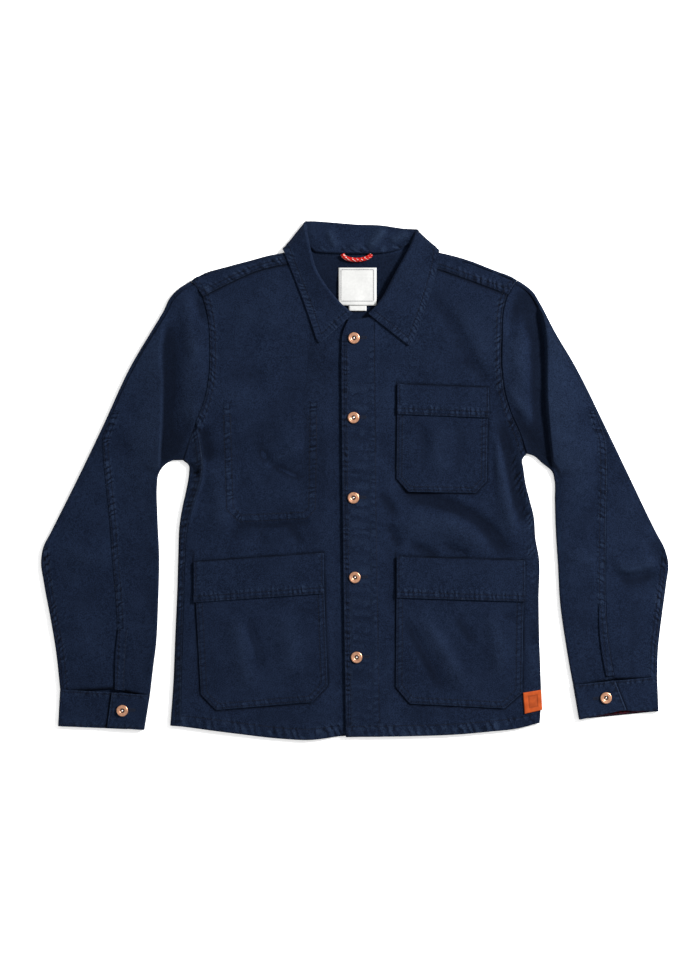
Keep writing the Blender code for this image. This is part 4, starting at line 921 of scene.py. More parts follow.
def make_front_left():
    """Left front with its placket; it wraps under at the side."""
    shares, below = rows_of_panel()
    side = spline(SIDE_LEFT)
    arm = spline(ARMHOLE_LEFT)
    arm = moved(stretch(arm, 0, share_near(arm, YOKE_SEAM_LEFT[-1])), 2.5 * SEAM)
    edge = joined(moved(side, FOLD_RADIUS), arm, UNDERARM)
    top = joined(spline(NECK_LEFT), spline([(x, y - SEAM) for x, y in YOKE_SEAM_LEFT]), 0.42)
    upper = patch(spline(HEM_LEFT), top, spline(PLACKET_EDGE), edge, steps(290), shares)
    height, wear = eased_top(upper, "front_left", -1)
    outward = -left_of(side, below)
    around = fold_round(side(below), outward, height[:len(below), -1], 0)
    reach = np.linspace(FOLD_RADIUS, FOLD_RADIUS + WRAP, 5)[1:]
    tuck = side(below)[:, None] - outward[:, None] * reach[None, :, None]
    under = padded_rows(np.concatenate([around[:, 1:], raised(tuck, 0)], 1), len(shares))
    grid = np.concatenate([raised(upper, height), under], 1)
    cloth("front_left", grid, padded_marks(grid, wear, 0, 0))


def yoke_side(side):
    """One shoulder of the yoke: its upper face and fold, the wear and painted shade there, its shoulder line
    and its back armhole edge."""
    outer_table, _, arm_table, _, seam_table, sign = SIDES[side]
    outer, arm = spline(outer_table), spline(arm_table)
    run = stretch(outer, 0, share_near(outer, arm_table[-1]) - 0.0008)
    seam = moved(spline(seam_table), SEAM / 2)
    if side == "right":
        run = reverse(run)
    arm_end, neck_end, at_arm = (0, 1, 0) if side == "right" else (1, 0, -1)
    across = np.linspace(0, 1, WING_COLUMNS + 1)
    edge, outward = run(across), left_of(run, across)
    outward[at_arm] = shoulder_direction(arm)
    corner_share = 1 - FOLD_RADIUS / np.linalg.norm(arm(1) - arm(0))
    high = edge - outward * FOLD_RADIUS
    high[at_arm] = moved(arm, 1.5 * sign * SEAM)(corner_share)[0]
    high = polyline(high)
    arm_part = moved(stretch(arm, share_near(arm, seam(arm_end)[0]), 1), sign * SEAM)
    neck_part = polyline([seam(neck_end)[0], high(neck_end)[0]])
    ends = (arm_part, neck_part) if side == "right" else (neck_part, arm_part)
    top = patch(seam, high, *ends, WING_COLUMNS, steps(26))
    height, wear = panel_top(top, "yoke")
    fold = fold_round(edge, outward, height[-1], yoke_bottom(edge))
    back = armhole_back(arm)
    fold[at_arm, 0, :2] = high(arm_end)[0]
    fold[at_arm, -1, :2] = moved(back, 1.5 * sign * SEAM)(corner_share)[0]
    upper = np.concatenate([raised(top, height)[:-1], fold.transpose(1, 0, 2)[:-1]])
    back_edge = moved(stretch(back, corner_share, back_share(back) + 0.0015), -sign * SEAM)
    return upper, wear, polyline(fold[:, -1, :2]), back_edge


def make_yoke():
    """One-piece yoke: from its front seams up over both shoulders and down to the back seam."""
    upper, wear, shoulder, backs = {}, {}, {}, {}
    for side in ("right", "left"):
        upper[side], wear[side], shoulder[side], backs[side] = yoke_side(side)
    neck = spline([(x, y - SEAM) for x, y in NECK_BACK])
    total = 2 * WING_COLUMNS + NECK_COLUMNS
    high = joined(joined(shoulder["right"], neck, WING_COLUMNS / (WING_COLUMNS + NECK_COLUMNS)),
                  shoulder["left"], 1 - WING_COLUMNS / total)
    low = spline([backs["right"](1)[0], (0, BACK_SEAM_Y + BACK_SEAM_RISE + 2 * SEAM), backs["left"](1)[0]])
    under = patch(high, low, backs["right"], backs["left"], total, 46)
    under = raised(under, np.maximum(yoke_bottom(under), underside(under)))
    gap = np.full((upper["right"].shape[0], NECK_COLUMNS - 1, 3), np.nan)
    grid = np.concatenate([np.concatenate([upper["right"], gap, upper["left"]], 1), under])
    worn_and_shaded = padded_marks(grid, wear["right"], 0, 0) + padded_marks(grid, wear["left"], 0, total - WING_COLUMNS)
    # the cloth inside the neck is coloured darker
    aside = np.abs(under[..., 0] - NECK_DARKENING_MIDDLE)
    neck_darkened = smoothstep(under[..., 1], *NECK_DARKENING_FRONT) * (1 - smoothstep(aside, *NECK_DARKENING_REACH))
    worn_and_shaded[-len(under):, :, 0] -= NECK_DARKENING * neck_darkened
    cloth("yoke", grid, worn_and_shaded)


def across_lower(lower, first, last, count):
    """Points across a sleeve's lower face between two shares of its width, row by row."""
    known = np.linspace(0, 1, lower.shape[1])
    rows = []
    for row, line in enumerate(lower):
        ends = [value[row] if np.ndim(value) else value for value in (first, last)]
        wanted = np.linspace(*ends, count + 1)
        rows.append(np.stack([np.interp(wanted, known, line[:, k]) for k in range(2)], -1))
    plan = np.array(rows)
    return raised(plan, underside(plan))


def eased_top(plan, piece, edge):
    """A face's height, nearly flat at the column where it folds over, and its marks."""
    height, marks = top_of(piece)(plan)
    away = np.linalg.norm(plan - plan[:, edge][:, None], axis=-1)
    return FLAT_TOP + (height - FLAT_TOP) * (0.25 + 0.75 * smoothstep(away, 0, 9)), marks


def make_allowance(side):
    """The armhole's seam allowances, turned to the inside of the seam."""
    arm = stretch(spline(SIDES[side][2]), 0, 0.97)
    near, far = moved(arm, ALLOWANCE / 2), moved(arm, -ALLOWANCE / 2)
    plan = patch(chord(near(0), far(0)), chord(near(1), far(1)), near, far, 8, 90)
    cloth("allowance_" + side, raised(plan[:, ::-1], ALLOWANCE_TOP), wall=ALLOWANCE_WALL, node=())


def sleeve_plans(side):
    """A sleeve in plan: its upper piece, the under piece's strip beside that, the whole lower face,
    and the inner and outer edges with the directions that they face."""
    outer_table, inner_table, arm_table, seam_table, _, sign = SIDES[side]
    outer = spline(outer_table)
    outer = paced(stretch(outer, share_near(outer, arm_table[-1]), 1), OUTER_PACE)
    inner = paced(spline(inner_table[::-1]), INNER_PACE)
    arm = moved(spline(arm_table), -sign * SEAM / 3)
    arm_back = moved(armhole_back(spline(arm_table)), -sign * SEAM / 3)
    seam = paced(spline(seam_table), OUTER_PACE)
    shares = steps(SLEEVE_LENGTH)
    inner_out, outer_out = -sign * left_of(inner, shares), sign * left_of(outer, shares)
    inner_out[0] = -unit(arm_back(0.02) - arm_back(0))[0]
    outer_out[0] = shoulder_direction(spline(arm_table))
    inner_in, outer_in = moved(inner, sign * FOLD_RADIUS), moved(outer, -sign * FOLD_RADIUS)
    seam_start = share_near(arm, seam_table[0])
    main_across, strip_across, lower_across = steps(150, FINE_GRID), steps(75), np.linspace(0, 1, 31)
    upper = patch(stretch(arm, 0, seam_start), chord(inner_in(1), seam(1)),
                  inner_in, moved(seam, -sign * SEAM / 2), main_across, shares)
    strip = patch(stretch(arm, seam_start, 1), chord(seam(1), outer_in(1)),
                  moved(seam, sign * SEAM / 2), outer_in, strip_across, shares)
    lower = patch(arm_back, chord(inner_in(1), outer_in(1)), inner_in, outer_in, lower_across, shares)
    fold_share = FOLD_RADIUS / np.linalg.norm(arm_back(1) - arm_back(0))
    upper[0] = arm(fold_share + (seam_start - 0.001 - fold_share) * main_across)
    strip[0] = arm(seam_start + 0.001 + (1 - fold_share - seam_start - 0.001) * strip_across)
    lower[0] = arm_back(fold_share + (1 - 2 * fold_share) * lower_across)
    return upper, strip, lower, (inner(shares), inner_out), (outer(shares), outer_out)


def make_sleeve(side):
    """The sleeve's upper and under pieces, a flattened tube from the armhole to the cuff."""
    upper, strip, lower, inner_edge, outer_edge = sleeve_plans(side)
    upper_height, upper_wear_and_shade = eased_top(upper, "sleeve_upper_" + side, 0)
    strip_height, strip_wear_and_shade = eased_top(strip, "sleeve_under_" + side, -1)
    inner_fold = fold_round(*inner_edge, upper_height[:, 0], 0)[:, ::-1]
    outer_fold = fold_round(*outer_edge, strip_height[:, -1], 0)

    under_seam = np.interp(steps(SLEEVE_LENGTH), [0, 1], UNDER_SEAM_SHARE)
    gap = SEAM / 2 / np.linalg.norm(lower[:, -1] - lower[:, 0], axis=1)
    from_inner = across_lower(lower, under_seam - gap, 0, 16)
    from_outer = across_lower(lower, 1, under_seam + gap, 12)
    main_piece = np.concatenate([from_inner, inner_fold[:, 1:-1], raised(upper, upper_height)], 1)
    narrow_piece = np.concatenate([raised(strip, strip_height), outer_fold[:, 1:-1], from_outer], 1)
    main_wear_and_shade = padded_marks(main_piece, upper_wear_and_shade, 0, main_piece.shape[1] - upper_wear_and_shade.shape[1])
    narrow_wear_and_shade = padded_marks(narrow_piece, strip_wear_and_shade, 0, 0)
    middle, turn = lower[-1].mean(0), -SIDES[side][-1]
    for name, grid, wear in ((f"sleeve_upper_{side}", main_piece, main_wear_and_shade),
                             (f"sleeve_under_{side}", narrow_piece, narrow_wear_and_shade)):
        grid, wear = tucked(grid, middle), np.concatenate([wear, wear[-1:]])
        cloth(name, grid[:, ::turn], wear[:, ::turn])


def tucked(grid, middle):
    """A sleeve's points with its sewn end added, narrowed and inside the cuff."""
    end = grid[-1:].copy()
    end[..., :2] = middle + (end[..., :2] - middle) * SLEEVE_END_WIDTH - [0, SLEEVE_END_DEPTH]
    end[..., 2] = np.clip(end[..., 2], *SLEEVE_END_HEIGHTS)
    return np.concatenate([grid, end])


def cuff_row(cuff, share):
    """Points and marks round a cuff at a share of its depth, from the overlapping end inwards."""
    name = "cuff_" + cuff["side"]
    tops, lows = np.array([cuff[key] for key in CUFF_CORNERS], float).reshape(2, 2, 2)
    top_overlap = tops[0] + (tops[1] - tops[0]) * cuff["overlap"]
    inner, outer = tops + (lows - tops) * share
    overlap = top_overlap + (np.array(cuff["low_overlap"]) - top_overlap) * share
    tuck = inner + (outer - inner) * TUCK_SHARE + np.array([0, cuff["tuck_rise"] * share])
    direction = unit(outer - inner)
    inner_in, outer_in = inner + direction * FOLD_RADIUS, outer - direction * FOLD_RADIUS
    over = chord(overlap, inner_in)(steps(58, FINE_GRID))
    under = chord(inner_in, outer_in)(np.linspace(0, 1, 40))[1:-1]
    back = chord(outer_in, tuck)(steps(100, FINE_GRID))
    over_work, over_wear = seam_work(over, name, over=True)
    back_work, back_wear_and_shade = seam_work(back, name)
    # painted shadow on the covered end beside the overlapping end's edge
    back_wear_and_shade[:, 0] -= CREASE_PAINTED_SHADE * bell((back - overlap) @ direction, 1.5, 1.8)
    over_wear[:2, 0] += RIM
    around = fold_round(inner[None], -direction[None], OVERLAP_TOP + over_work[-1], 0)[0, 1:]
    far = fold_round(outer[None], direction[None], CUFF_TOP + back_work[0], 0)[0, ::-1]
    over_top, back_top = (top + work + CUFF_SLACK * noise(plan, 15, 8) for top, work, plan in (
        (OVERLAP_TOP, over_work, over), (CUFF_TOP, back_work, back)))
    row = [raised(over, over_top), around, raised(under, 0), far, raised(back[1:], back_top[1:])]
    quiet = np.zeros((len(around) + len(under) + len(far), 4))
    return np.concatenate(row), np.concatenate([over_wear, quiet, back_wear_and_shade[1:]])


def make_cuff(cuff):
    """A cuff laid flat: a strip round it whose upper end lies on its other end."""
    grid, wear = (np.array(part) for part in zip(*(cuff_row(cuff, share) for share in steps(52, FINE_GRID))))
    grid[:, :, 1] -= SEAM
    turn = SIDES[cuff["side"]][-1]
    cloth("cuff_" + cuff["side"], grid[:, ::turn], wear[:, ::turn], wall=DOUBLED)


def make_cuff_lining():
    """The burgundy lining inside the left cuff, which shows below its overlapping end."""
    plan = raised(quad(CUFF_LINING, steps(78, FINE_GRID), steps(14, 2)), DOUBLED + SEAM + LINING_WALL + 0.2)
    cloth("cuff_lining_left", plan, wall=LINING_WALL, look=lining, slot=None, node=())


def bag_top(plan, name):
    """Face of a pocket's bag, with its own slack and its stitched edges."""
    pocket = next(row for row in POCKETS if row["name"] == name)
    height, wear = seam_work(plan, name)
    low, high = pocket["low"][1][1], pocket["top"][0][1] - pocket["band"]
    free = window(plan[..., 1], low + 2, low + 26, high - 12, high - 2)
    swells = fold_relief(plan, POCKET_FOLDS) * free + POCKET_SLACK * rumple(plan, 7)
    # the bag's swells get painted light and its hollows painted shade
    return FLAT_TOP + LAY + CLOTH + np.maximum(swells, DEEPEST_POCKET) + height, with_painted_fold_shading(wear, swells)


def band_top(plan, name):
    """Face of the band across a pocket's top."""
    height, wear = seam_work(plan, name)
    return FLAT_TOP + 2 * (LAY + CLOTH) + BAND_RISE + 0.5 * rumple(plan, 9) + height, wear


def make_pocket(pocket):
    """A patch pocket with cut-off lower corners, and the band across its top."""
    name, top, low = pocket["name"], pocket["top"], pocket["low"]
    knots = travelled(np.array(low, float))
    length, knots = knots[-1], knots / knots[-1]
    across = np.unique(np.concatenate([steps(length, FINE_GRID), knots]))
    laid(name, plate(top, low, across, steps(top[0][1] - low[1][1], FINE_GRID), knots))
    columns, rows = steps(top[1][0] - top[0][0], FINE_GRID), steps(pocket["band"], FINE_GRID)
    laid(name + "_band", quad(band_corners(pocket), columns, rows))


def make_inner_pocket():
    """The pocket inside the right front, just under it."""
    plan = plate(INNER_POCKET["top"], INNER_POCKET["low"], 30, 30)
    cloth("inner_pocket", raised(plan, INNER_POCKET_TOP), wall=INNER_POCKET_WALL)


def strip_top(plan, name):
    height, wear = seam_work(plan, name)
    return FLAT_TOP + LAY + CLOTH + STRIP_RISE + height, wear


def laid(name, plan):
    """A sheet of cloth over points in plan, with the height and the marks of its own face."""
    face, wear = top_of(name)(plan)
    cloth(name, raised(plan, face), wear)


def make_sleeve_placket(strip):
    along_strip = steps(100, FINE_GRID)
    plan = quad(strip["corners"], steps(15, 1.2), along_strip)
    plan[..., 0] -= strip["bow"] * (4 * along_strip * (1 - along_strip))[:, None]
    laid("sleeve_placket_" + strip["side"], plan)


def make_trim(name, corners, face, wall, look, slot, columns, rows, seed):
    """A small flat piece, its corners given anticlockwise from the lower left one."""
    plan = quad(corners, columns, rows)
    cloth(name, raised(plan, face + 0.5 * noise(plan, 17, seed)), wall=wall, look=look, slot=slot)


def make_leather_patch():
    """A small leather rectangle with a plain square frame pressed into it."""
    corners = np.array(LEATHER_PATCH)
    width, height = np.linalg.norm(corners[[1, 3]] - corners[0], axis=1)
    columns, rows = steps(width, 0.6), steps(height, 0.6)
    plan = quad(LEATHER_PATCH, columns, rows)
    from_edge = np.minimum(np.minimum(columns, 1 - columns)[None] * width,
                           np.minimum(rows, 1 - rows)[:, None] * height)
    pressed = bell(from_edge, 7.2, 0.9) + 0.5 * smoothstep(from_edge, 7.5, 8.2)
    rounded = 0.5 * (1 - smoothstep(from_edge, 0, 1.3))
    face = FLAT_TOP + LAY + LEATHER_WALL + 0.1 + 0.25 * noise(plan, 9, 4) - 0.55 * pressed - rounded
    cloth("leather_patch", raised(plan, face), pressed.clip(0, 1), LEATHER_WALL, leather, "leather")


def collar_section(row):
    """Points across the collar from the fall's edge over the roll to the neck seam."""
    edge, roll, neck = row[:9].reshape(3, 3)
    facing, turn = np.radians(row[9:11])
    radius = row[11]
    out = np.array([np.cos(facing), np.sin(facing), 0])
    side = np.array([-np.sin(facing), np.cos(facing), 0]) * np.cos(turn) + np.array([0, 0, np.sin(turn)])
    centre = roll - out * radius
    swing = np.radians(np.linspace(90, -90, COLLAR_ARC + 1))[:, None]
    arc = centre + radius * (np.cos(swing) * out + np.sin(swing) * side)
    share = np.concatenate([[0, 0.008], np.linspace(0, 1, FALL_STEPS + 1)[1:-1]])[:, None]
    fall = edge + (arc[0] - edge) * share
    fall[:, 2] = edge[2] + (arc[0][2] - edge[2]) * share[:, 0] ** 2
    stand = arc[-1] + (neck - arc[-1]) * np.linspace(0, 1, NECK_STEPS + 1)[1:, None]
    return np.concatenate([fall, arc, stand])


def lengths_along(grid, axis):
    """Distance travelled over a grid of points from its first row or column."""
    parts = np.linalg.norm(np.diff(grid, axis=axis), axis=-1)
    start = np.zeros_like(np.take(parts, [0], axis=axis))
    return np.cumsum(np.concatenate([start, parts], axis), axis)


def normals_of(grid):
    """Unit normals of a grid of points, to its outer side."""
    across, up = np.gradient(grid, axis=1), np.gradient(grid, axis=0)
    normal = np.cross(across, up)
    return normal / np.maximum(np.linalg.norm(normal, axis=-1, keepdims=True), 1e-9)


def collar_surface():
    """The collar's outer face without its work, from the table of sections."""
    table = np.array([[*edge, *roll, *neck, *rest] for edge, roll, neck, *rest in COLLAR])
    slopes = np.gradient(table, axis=0)
    sections = []
    for station in np.linspace(0, len(table) - 1, COLLAR_STATIONS + 1):
        first = min(int(station), len(table) - 2)
        near = slice(first, first + 2)
        sections.append(collar_section(hermite(station - first, *table[near], *slopes[near])))
    return np.array(sections)


def blunted(grid, from_corner):
    """The collar's face with its two points rounded off."""
    for end, inner in ((0, 9), (-1, -10)):
        away = np.linalg.norm(grid - grid[end, 0], axis=-1)
        inward = unit(grid[inner, 9] - grid[end, 0])
        cut = np.where(from_corner < 3 * BLUNT, (1 - away / BLUNT).clip(0), 0)
        grid = grid + (0.4 * BLUNT * cut ** 2)[..., None] * inward
    return grid


def collar_grid():
    """The collar's outer face with its edge work, and its marks."""
    grid = collar_surface()
    from_edge = lengths_along(grid, 1)
    from_end = lengths_along(grid, 0)
    from_end = np.minimum(from_end, from_end[-1] - from_end)
    depth = np.minimum(from_edge, from_end)
    along_edge = np.where(from_edge < from_end, lengths_along(grid, 0)[:, :1], from_edge + 31)
    doubled = 1 - smoothstep(depth, COLLAR_WORK["band"] - 1, COLLAR_WORK["band"] + 2)
    fall = np.arange(grid.shape[1]) < FALL_STEPS + 2
    fade = window(depth, -1, 3, 9, 15)
    to_neck = lengths_along(grid[:, ::-1], 1)[:, ::-1]
    inside = smoothstep(np.arange(grid.shape[1]), FALL_STEPS + 6, FALL_STEPS + 14)
    gathers = pucker_turns(lengths_along(grid, 0), to_neck, NECK_WORK)
    turns = np.where(inside > 0, gathers, pucker_turns(along_edge, depth, COLLAR_WORK))
    gathered = inside * window(to_neck, 0.5, 3, 5, 14)
    strength = COLLAR_WORK["height"] * fade * fall + NECK_WORK["height"] * gathered
    groove = bell(depth, COLLAR_WORK["rows"][0], 1.1) * fall
    slack = noise(grid[..., :2], 34, 5) * smoothstep(depth, 10, 30) * (from_edge[:, -1:] - from_edge > 10)
    creases = fold_relief(grid[..., :2], STAND_FOLDS) * inside
    relief = (COLLAR_WORK["lift"] * doubled * fall + 0.5 * strength * np.sin(2 * np.pi * turns)
              - 0.3 * groove + 0.5 * slack)
    # the slack's and stand creases' heights tint the cloth: paler where they rise as painted light, darker
    # where the slack sinks as painted shade
    marks = np.stack([0.08 * slack + 0.14 * creases, turns, depth - COLLAR_WORK["rows"][0], strength], -1)
    steady = smoothstep(to_neck, 0, 6)
    grid = blunted(grid, from_end + from_edge)
    return grid + normals_of(grid) * ((relief + creases) * steady)[..., None], marks


def collar_paths(grid):
    """Stitch rows on the collar's fall, each as its points and the cloth's normals there."""
    normal = normals_of(grid)
    inset = COLLAR_WORK["rows"][0]
    from_edge, from_end = lengths_along(grid, 1), lengths_along(grid, 0)
    shown = grid[:, 8, 2] > 7.5
    half = len(grid) // 2
    paths = []
    for first, distance, stations in ((0, from_end, np.arange(half)),
                                      (-1, from_end[-1] - from_end, np.arange(len(grid) - 1, half, -1))):
        corner = int(np.argmin(np.abs(from_edge[first, :FALL_STEPS] - inset)))
        down = [(np.interp(inset, distance[stations, column], stations), column)
                for column in range(FALL_STEPS - 1, corner, -1)]
        inner = [station for station in stations if distance[station, corner] > inset and shown[station]]
        columns = np.arange(grid.shape[1])
        edge = [(station, np.interp(inset, from_edge[station], columns)) for station in inner]
        places = np.array(down + edge)
        paths.append((sampled(grid, places), sampled(normal, places)))
    return paths


def sampled(grid, places):
    """Values of a grid at fractional rows and columns."""
    low = np.minimum(np.floor(places).astype(int), np.array(grid.shape[:2]) - 2)
    (row, column), (u, v) = low.T, (places - low).T[..., None]
    return ((1 - u) * (1 - v) * grid[row, column] + u * (1 - v) * grid[row + 1, column]
            + (1 - u) * v * grid[row, column + 1] + u * v * grid[row + 1, column + 1])


def make_collar():
    grid, marks = collar_grid()
    cloth("collar", grid, marks, wall=DOUBLED)
    stitch_piece("stitches_collar", [stitch_run(*path) for path in collar_paths(grid)])


def stitch_run(points, normals, pitch=STITCH_PITCH, length=STITCH_LENGTH):
    """Stitches along a path: three points of each and the cloth's normal there."""
    distance = travelled(points)
    centres = np.arange(pitch / 2, distance[-1] - pitch / 3, pitch)
    at = centres[:, None] + np.array([-0.5, 0, 0.5]) * length
    return [np.stack([np.interp(where, distance, axis) for axis in values.T], -1)
            for where, values in ((at, points), (centres, normals))]


def stitch_piece(name, runs, look=None, slot="twill", radius=STITCH_RADIUS, rise=STITCH_RISE):
    """One mesh of small threads that dip into the cloth at both ends."""
    place, up = (np.concatenate(parts) for parts in zip(*runs))
    up = up[:, None]
    ahead = place[:, -1:] - place[:, :1]
    ahead = ahead / np.maximum(np.linalg.norm(ahead, axis=-1, keepdims=True), 1e-9)
    side = np.cross(up, ahead)
    centre = place + up * np.array(rise)[:, None]
    ring = np.stack([centre + radius * offset for offset in (side, up, -side, -up)], 2)
    corner = np.arange(len(place) * 12).reshape(-1, 3, 4)
    turned = np.roll(corner, -1, axis=2)
    faces = np.stack([corner[:, :-1], turned[:, :-1], turned[:, 1:], corner[:, 1:]], -1)
    piece_object(name, smooth_mesh(name, ring, faces), look or thread, slot)


def straight_up(count):
    return np.tile([0.0, 0.0, 1.0], (count, 1))


def flat_run(plan, height, pitch=STITCH_PITCH, length=STITCH_LENGTH):
    """Stitches along a run in plan on a face whose height is given at its points."""
    return stitch_run(raised(plan, height), straight_up(len(plan)), pitch, length)


def top_of(piece):
    """The function that gives the height of a piece's outer face at points in plan."""
    if piece in ("front_left", "front_right"):
        return front_left_top if piece == "front_left" else front_right_top
    kinds = ((piece.endswith("_band"), band_top), (piece.startswith("pocket"), bag_top),
             (piece.startswith("sleeve_placket"), strip_top), (piece.startswith("cuff"), cuff_top))
    face = next((top for fits, top in kinds if fits), panel_top)
    return lambda plan: face(plan, piece)


def cuff_top(plan, name):
    """Face of a cuff: its overlapping end stands higher than the end that it covers."""
    cuff = next(row for row in CUFFS if "cuff_" + row["side"] == name)
    inner, outer = np.array(cuff["inner"]), np.array(cuff["outer"])
    edge = np.array([inner + (outer - inner) * cuff["overlap"], cuff["low_overlap"]])
    edge[:, 1] -= SEAM
    beside = (plan - edge[0]) @ quarter_turn(edge[1] - edge[0])
    over = beside * (1 if cuff["side"] == "left" else -1) < 0
    work, wear = seam_work(plan, name, over=True)
    return np.where(over, OVERLAP_TOP, CUFF_TOP) + work + CUFF_SLACK * noise(plan, 15, 8), wear


def work_runs(piece):
    """The stitch rows of a piece's seams and edges."""
    runs = []
    for row in WORK[piece]:
        line = run_of(row)
        left = quarter_turn(unit(np.gradient(line, axis=0))) * row["side"]
        first, last = row.get("span", (0, 1))
        for inset in row["rows"]:
            plan = line + left * inset
            if row.get("straight"):
                plan = mitred(row["at"], inset * row["side"])(RUN_SHARES)
            kept = plan[round(first * (len(plan) - 1)):round(last * (len(plan) - 1)) + 1]
            runs.append(flat_run(kept, top_of(piece)(kept)[0]))
    return runs


def mitred(corners, inset):
    """A polyline moved to its left by a distance, its corners kept sharp and its ends cut back."""
    points = np.array(corners, float)
    left = quarter_turn(unit(np.diff(points, axis=0)))
    before, after = left[[0, *range(len(left))]], left[[*range(len(left)), -1]]
    return polyline(points + (before + after) * inset / (1 + (before * after).sum(1))[:, None])


def box_run(low_x, high_x, low_y, high_y, top):
    """A sewn rectangle that holds a pocket's corner."""
    corners = [(low_x, low_y), (high_x, low_y), (high_x, high_y), (low_x, high_y), (low_x, low_y)]
    plan = polyline(corners)(np.linspace(0, 1, 161))
    return flat_run(plan, top(plan)[0], 2.6, 2.1)


def make_stitches():
    """The rows of stitching on every sewn piece, each piece's in one mesh."""
    for piece in WORK:
        runs = work_runs(piece)
        if piece == "front_right":
            runs += [box_run(*box, front_right_top) for box in BARTACK_BOXES]
        if runs:
            stitch_piece("stitches_" + piece, runs)


def lathe(name, profile, x, y, base, look, *nodes):
    """A turned piece from its profile of radius and height, from its middle outwards."""
    turn = np.linspace(0, 2 * np.pi, BUTTON_SIDES, endpoint=False)
    radius, height = np.array(profile).T[..., None]
    ring = np.stack([radius * np.cos(turn) + x, radius * np.sin(turn) + y, height + base + 0 * turn], -1)
    corner = np.arange(len(profile) * BUTTON_SIDES).reshape(-1, BUTTON_SIDES)
    turned = np.roll(corner, -1, axis=1)
    faces = np.stack([corner[:-1], corner[1:], turned[1:], turned[:-1]], -1)
    piece_object(name, smooth_mesh(name, ring, faces), look, "copper", *nodes)


def make_button(name, x, y, base):
    """A tack button: a copper ring with a fine step in it, a dark well and a pin."""
    lathe(name + "_ring", BUTTON_PROFILE, x, y, base, copper, name)
    lathe(name + "_well", WELL_PROFILE, x, y, base, dark_metal)
    lathe(name + "_pin", PIN_PROFILE, x, y, base, steel)


def buttonhole(x, y, direction, top):
    """Close stitches round the end of a buttonhole that shows beside its button."""
    ahead = np.array([np.cos(direction), np.sin(direction)])
    side = quarter_turn(ahead)
    near, far = BUTTONHOLE
    roots = [(reach, sign * side, 0.35)
             for reach in np.arange(near, far, BUTTONHOLE_PITCH) for sign in (1, -1)]
    roots += [(far, ahead * np.cos(turn) + side * np.sin(turn), 0.3)
              for turn in np.radians(np.arange(-80, 81, 20))]
    plan = np.array([[[x, y] + ahead * reach + out * np.interp(part, [0, 1], [start, BUTTONHOLE_WIDTH])
                      for part in (0, 0.5, 1)] for reach, out, start in roots])
    return raised(plan, top(plan)[0]), straight_up(len(plan))


def make_label_frame():
    """The plain thin frame woven into the neck label."""
    low_x, low_y, high_x, high_y = LABEL_FRAME
    run = box_run(low_x, high_x, low_y, high_y, lambda plan: (inside_neck + 0.5 * noise(plan, 17, 2),))
    stitch_piece("label_frame", [run], look=grey_thread, slot="label", radius=0.42, rise=(0, 0.15, 0))


def make_buttonholes():
    runs = [buttonhole(x, y + 0.8, 0.0, front_left_top) for x, y in BUTTONS]
    for side, place in CUFF_BUTTONS.items():
        runs.append(buttonhole(*place, 0.05 if side == "right" else 3.2, top_of("cuff_" + side)))
    stitch_piece("buttonholes", runs, radius=0.36, rise=(-0.1, 0.3, -0.1))


def make_loop():
    """Hanger loop of round cord, both ends in the neck seam."""
    run = spline(LOOP)(np.linspace(0, 1, 31))
    curve = bpy.data.curves.new("hanger_loop", "CURVE")
    curve.dimensions = "3D"
    line = curve.splines.new("POLY")
    line.points.add(len(run) - 1)
    height = NECK_LIFT + CLOTH + SEAM + LOOP_RADIUS
    for point, (x, y) in zip(line.points, run):
        point.co = (x * MM, y * MM, height * MM, 1)
    curve.bevel_depth = LOOP_RADIUS * MM
    curve.bevel_resolution = 5
    curve.use_fill_caps = True
    item = piece_object("hanger_cord", curve, cord, "cord", "hanger_loop")


class Look:
    """A material in the making.  A value given to a socket is a number, a colour or a socket."""

    def __init__(self, name, **settings):
        self.made = bpy.data.materials.new(name)
        self.made.use_nodes = True
        self.tree = self.made.node_tree
        self.shader = self.tree.nodes["Principled BSDF"]
        self.where = self.node("TexCoord").outputs["Object"]
        for label, value in settings.items():
            self.feed(self.shader.inputs[label.replace("_", " ")], value)

    def feed(self, socket, value):
        if isinstance(value, bpy.types.NodeSocket):
            self.tree.links.new(value, socket)
        elif isinstance(value, tuple) and len(socket.default_value) == 4:
            socket.default_value = (*value, 1)
        else:
            socket.default_value = value

    def node(self, kind, inputs=None, **properties):
        made = self.tree.nodes.new("ShaderNode" + kind)
        for name, value in properties.items():
            setattr(made, name, value)
        for key, value in (inputs or {}).items():
            self.feed(made.inputs[key], value)
        return made

    def attribute(self, name):
        return self.node("Attribute", attribute_name=name).outputs

    def math(self, operation, *values):
        return self.node("Math", dict(enumerate(values)), operation=operation).outputs[0]

    def times(self, first, second):
        return self.math("MULTIPLY", first, second)

    def plus(self, first, second):
        return self.math("ADD", first, second)

    def minus(self, first, second):
        return self.math("SUBTRACT", first, second)

    def noise(self, scale, detail=2.0):
        return self.node("TexNoise", dict(Vector=self.where, Scale=scale, Detail=detail)).outputs["Fac"]

    def stretched(self, value, low, high):
        """A value mapped so that low gives 0 and high gives 1."""
        return self.node("MapRange", {"Value": value, "From Min": low, "From Max": high}).outputs["Result"]

    def mixed(self, factor, low, high):
        """A colour between two."""
        return self.node("Mix", {0: factor, 6: low, 7: high}, data_type="RGBA").outputs[2]

    def finish(self, colour, relief=None, depth=0.0):
        """Sets the surface's colour and its fine relief, and gives the material."""
        self.feed(self.shader.inputs["Base Color"], colour)
        if relief:
            bump = self.node("Bump", {"Height": relief, "Distance": depth})
            self.feed(self.shader.inputs["Normal"], bump.outputs["Normal"])
        return self.made


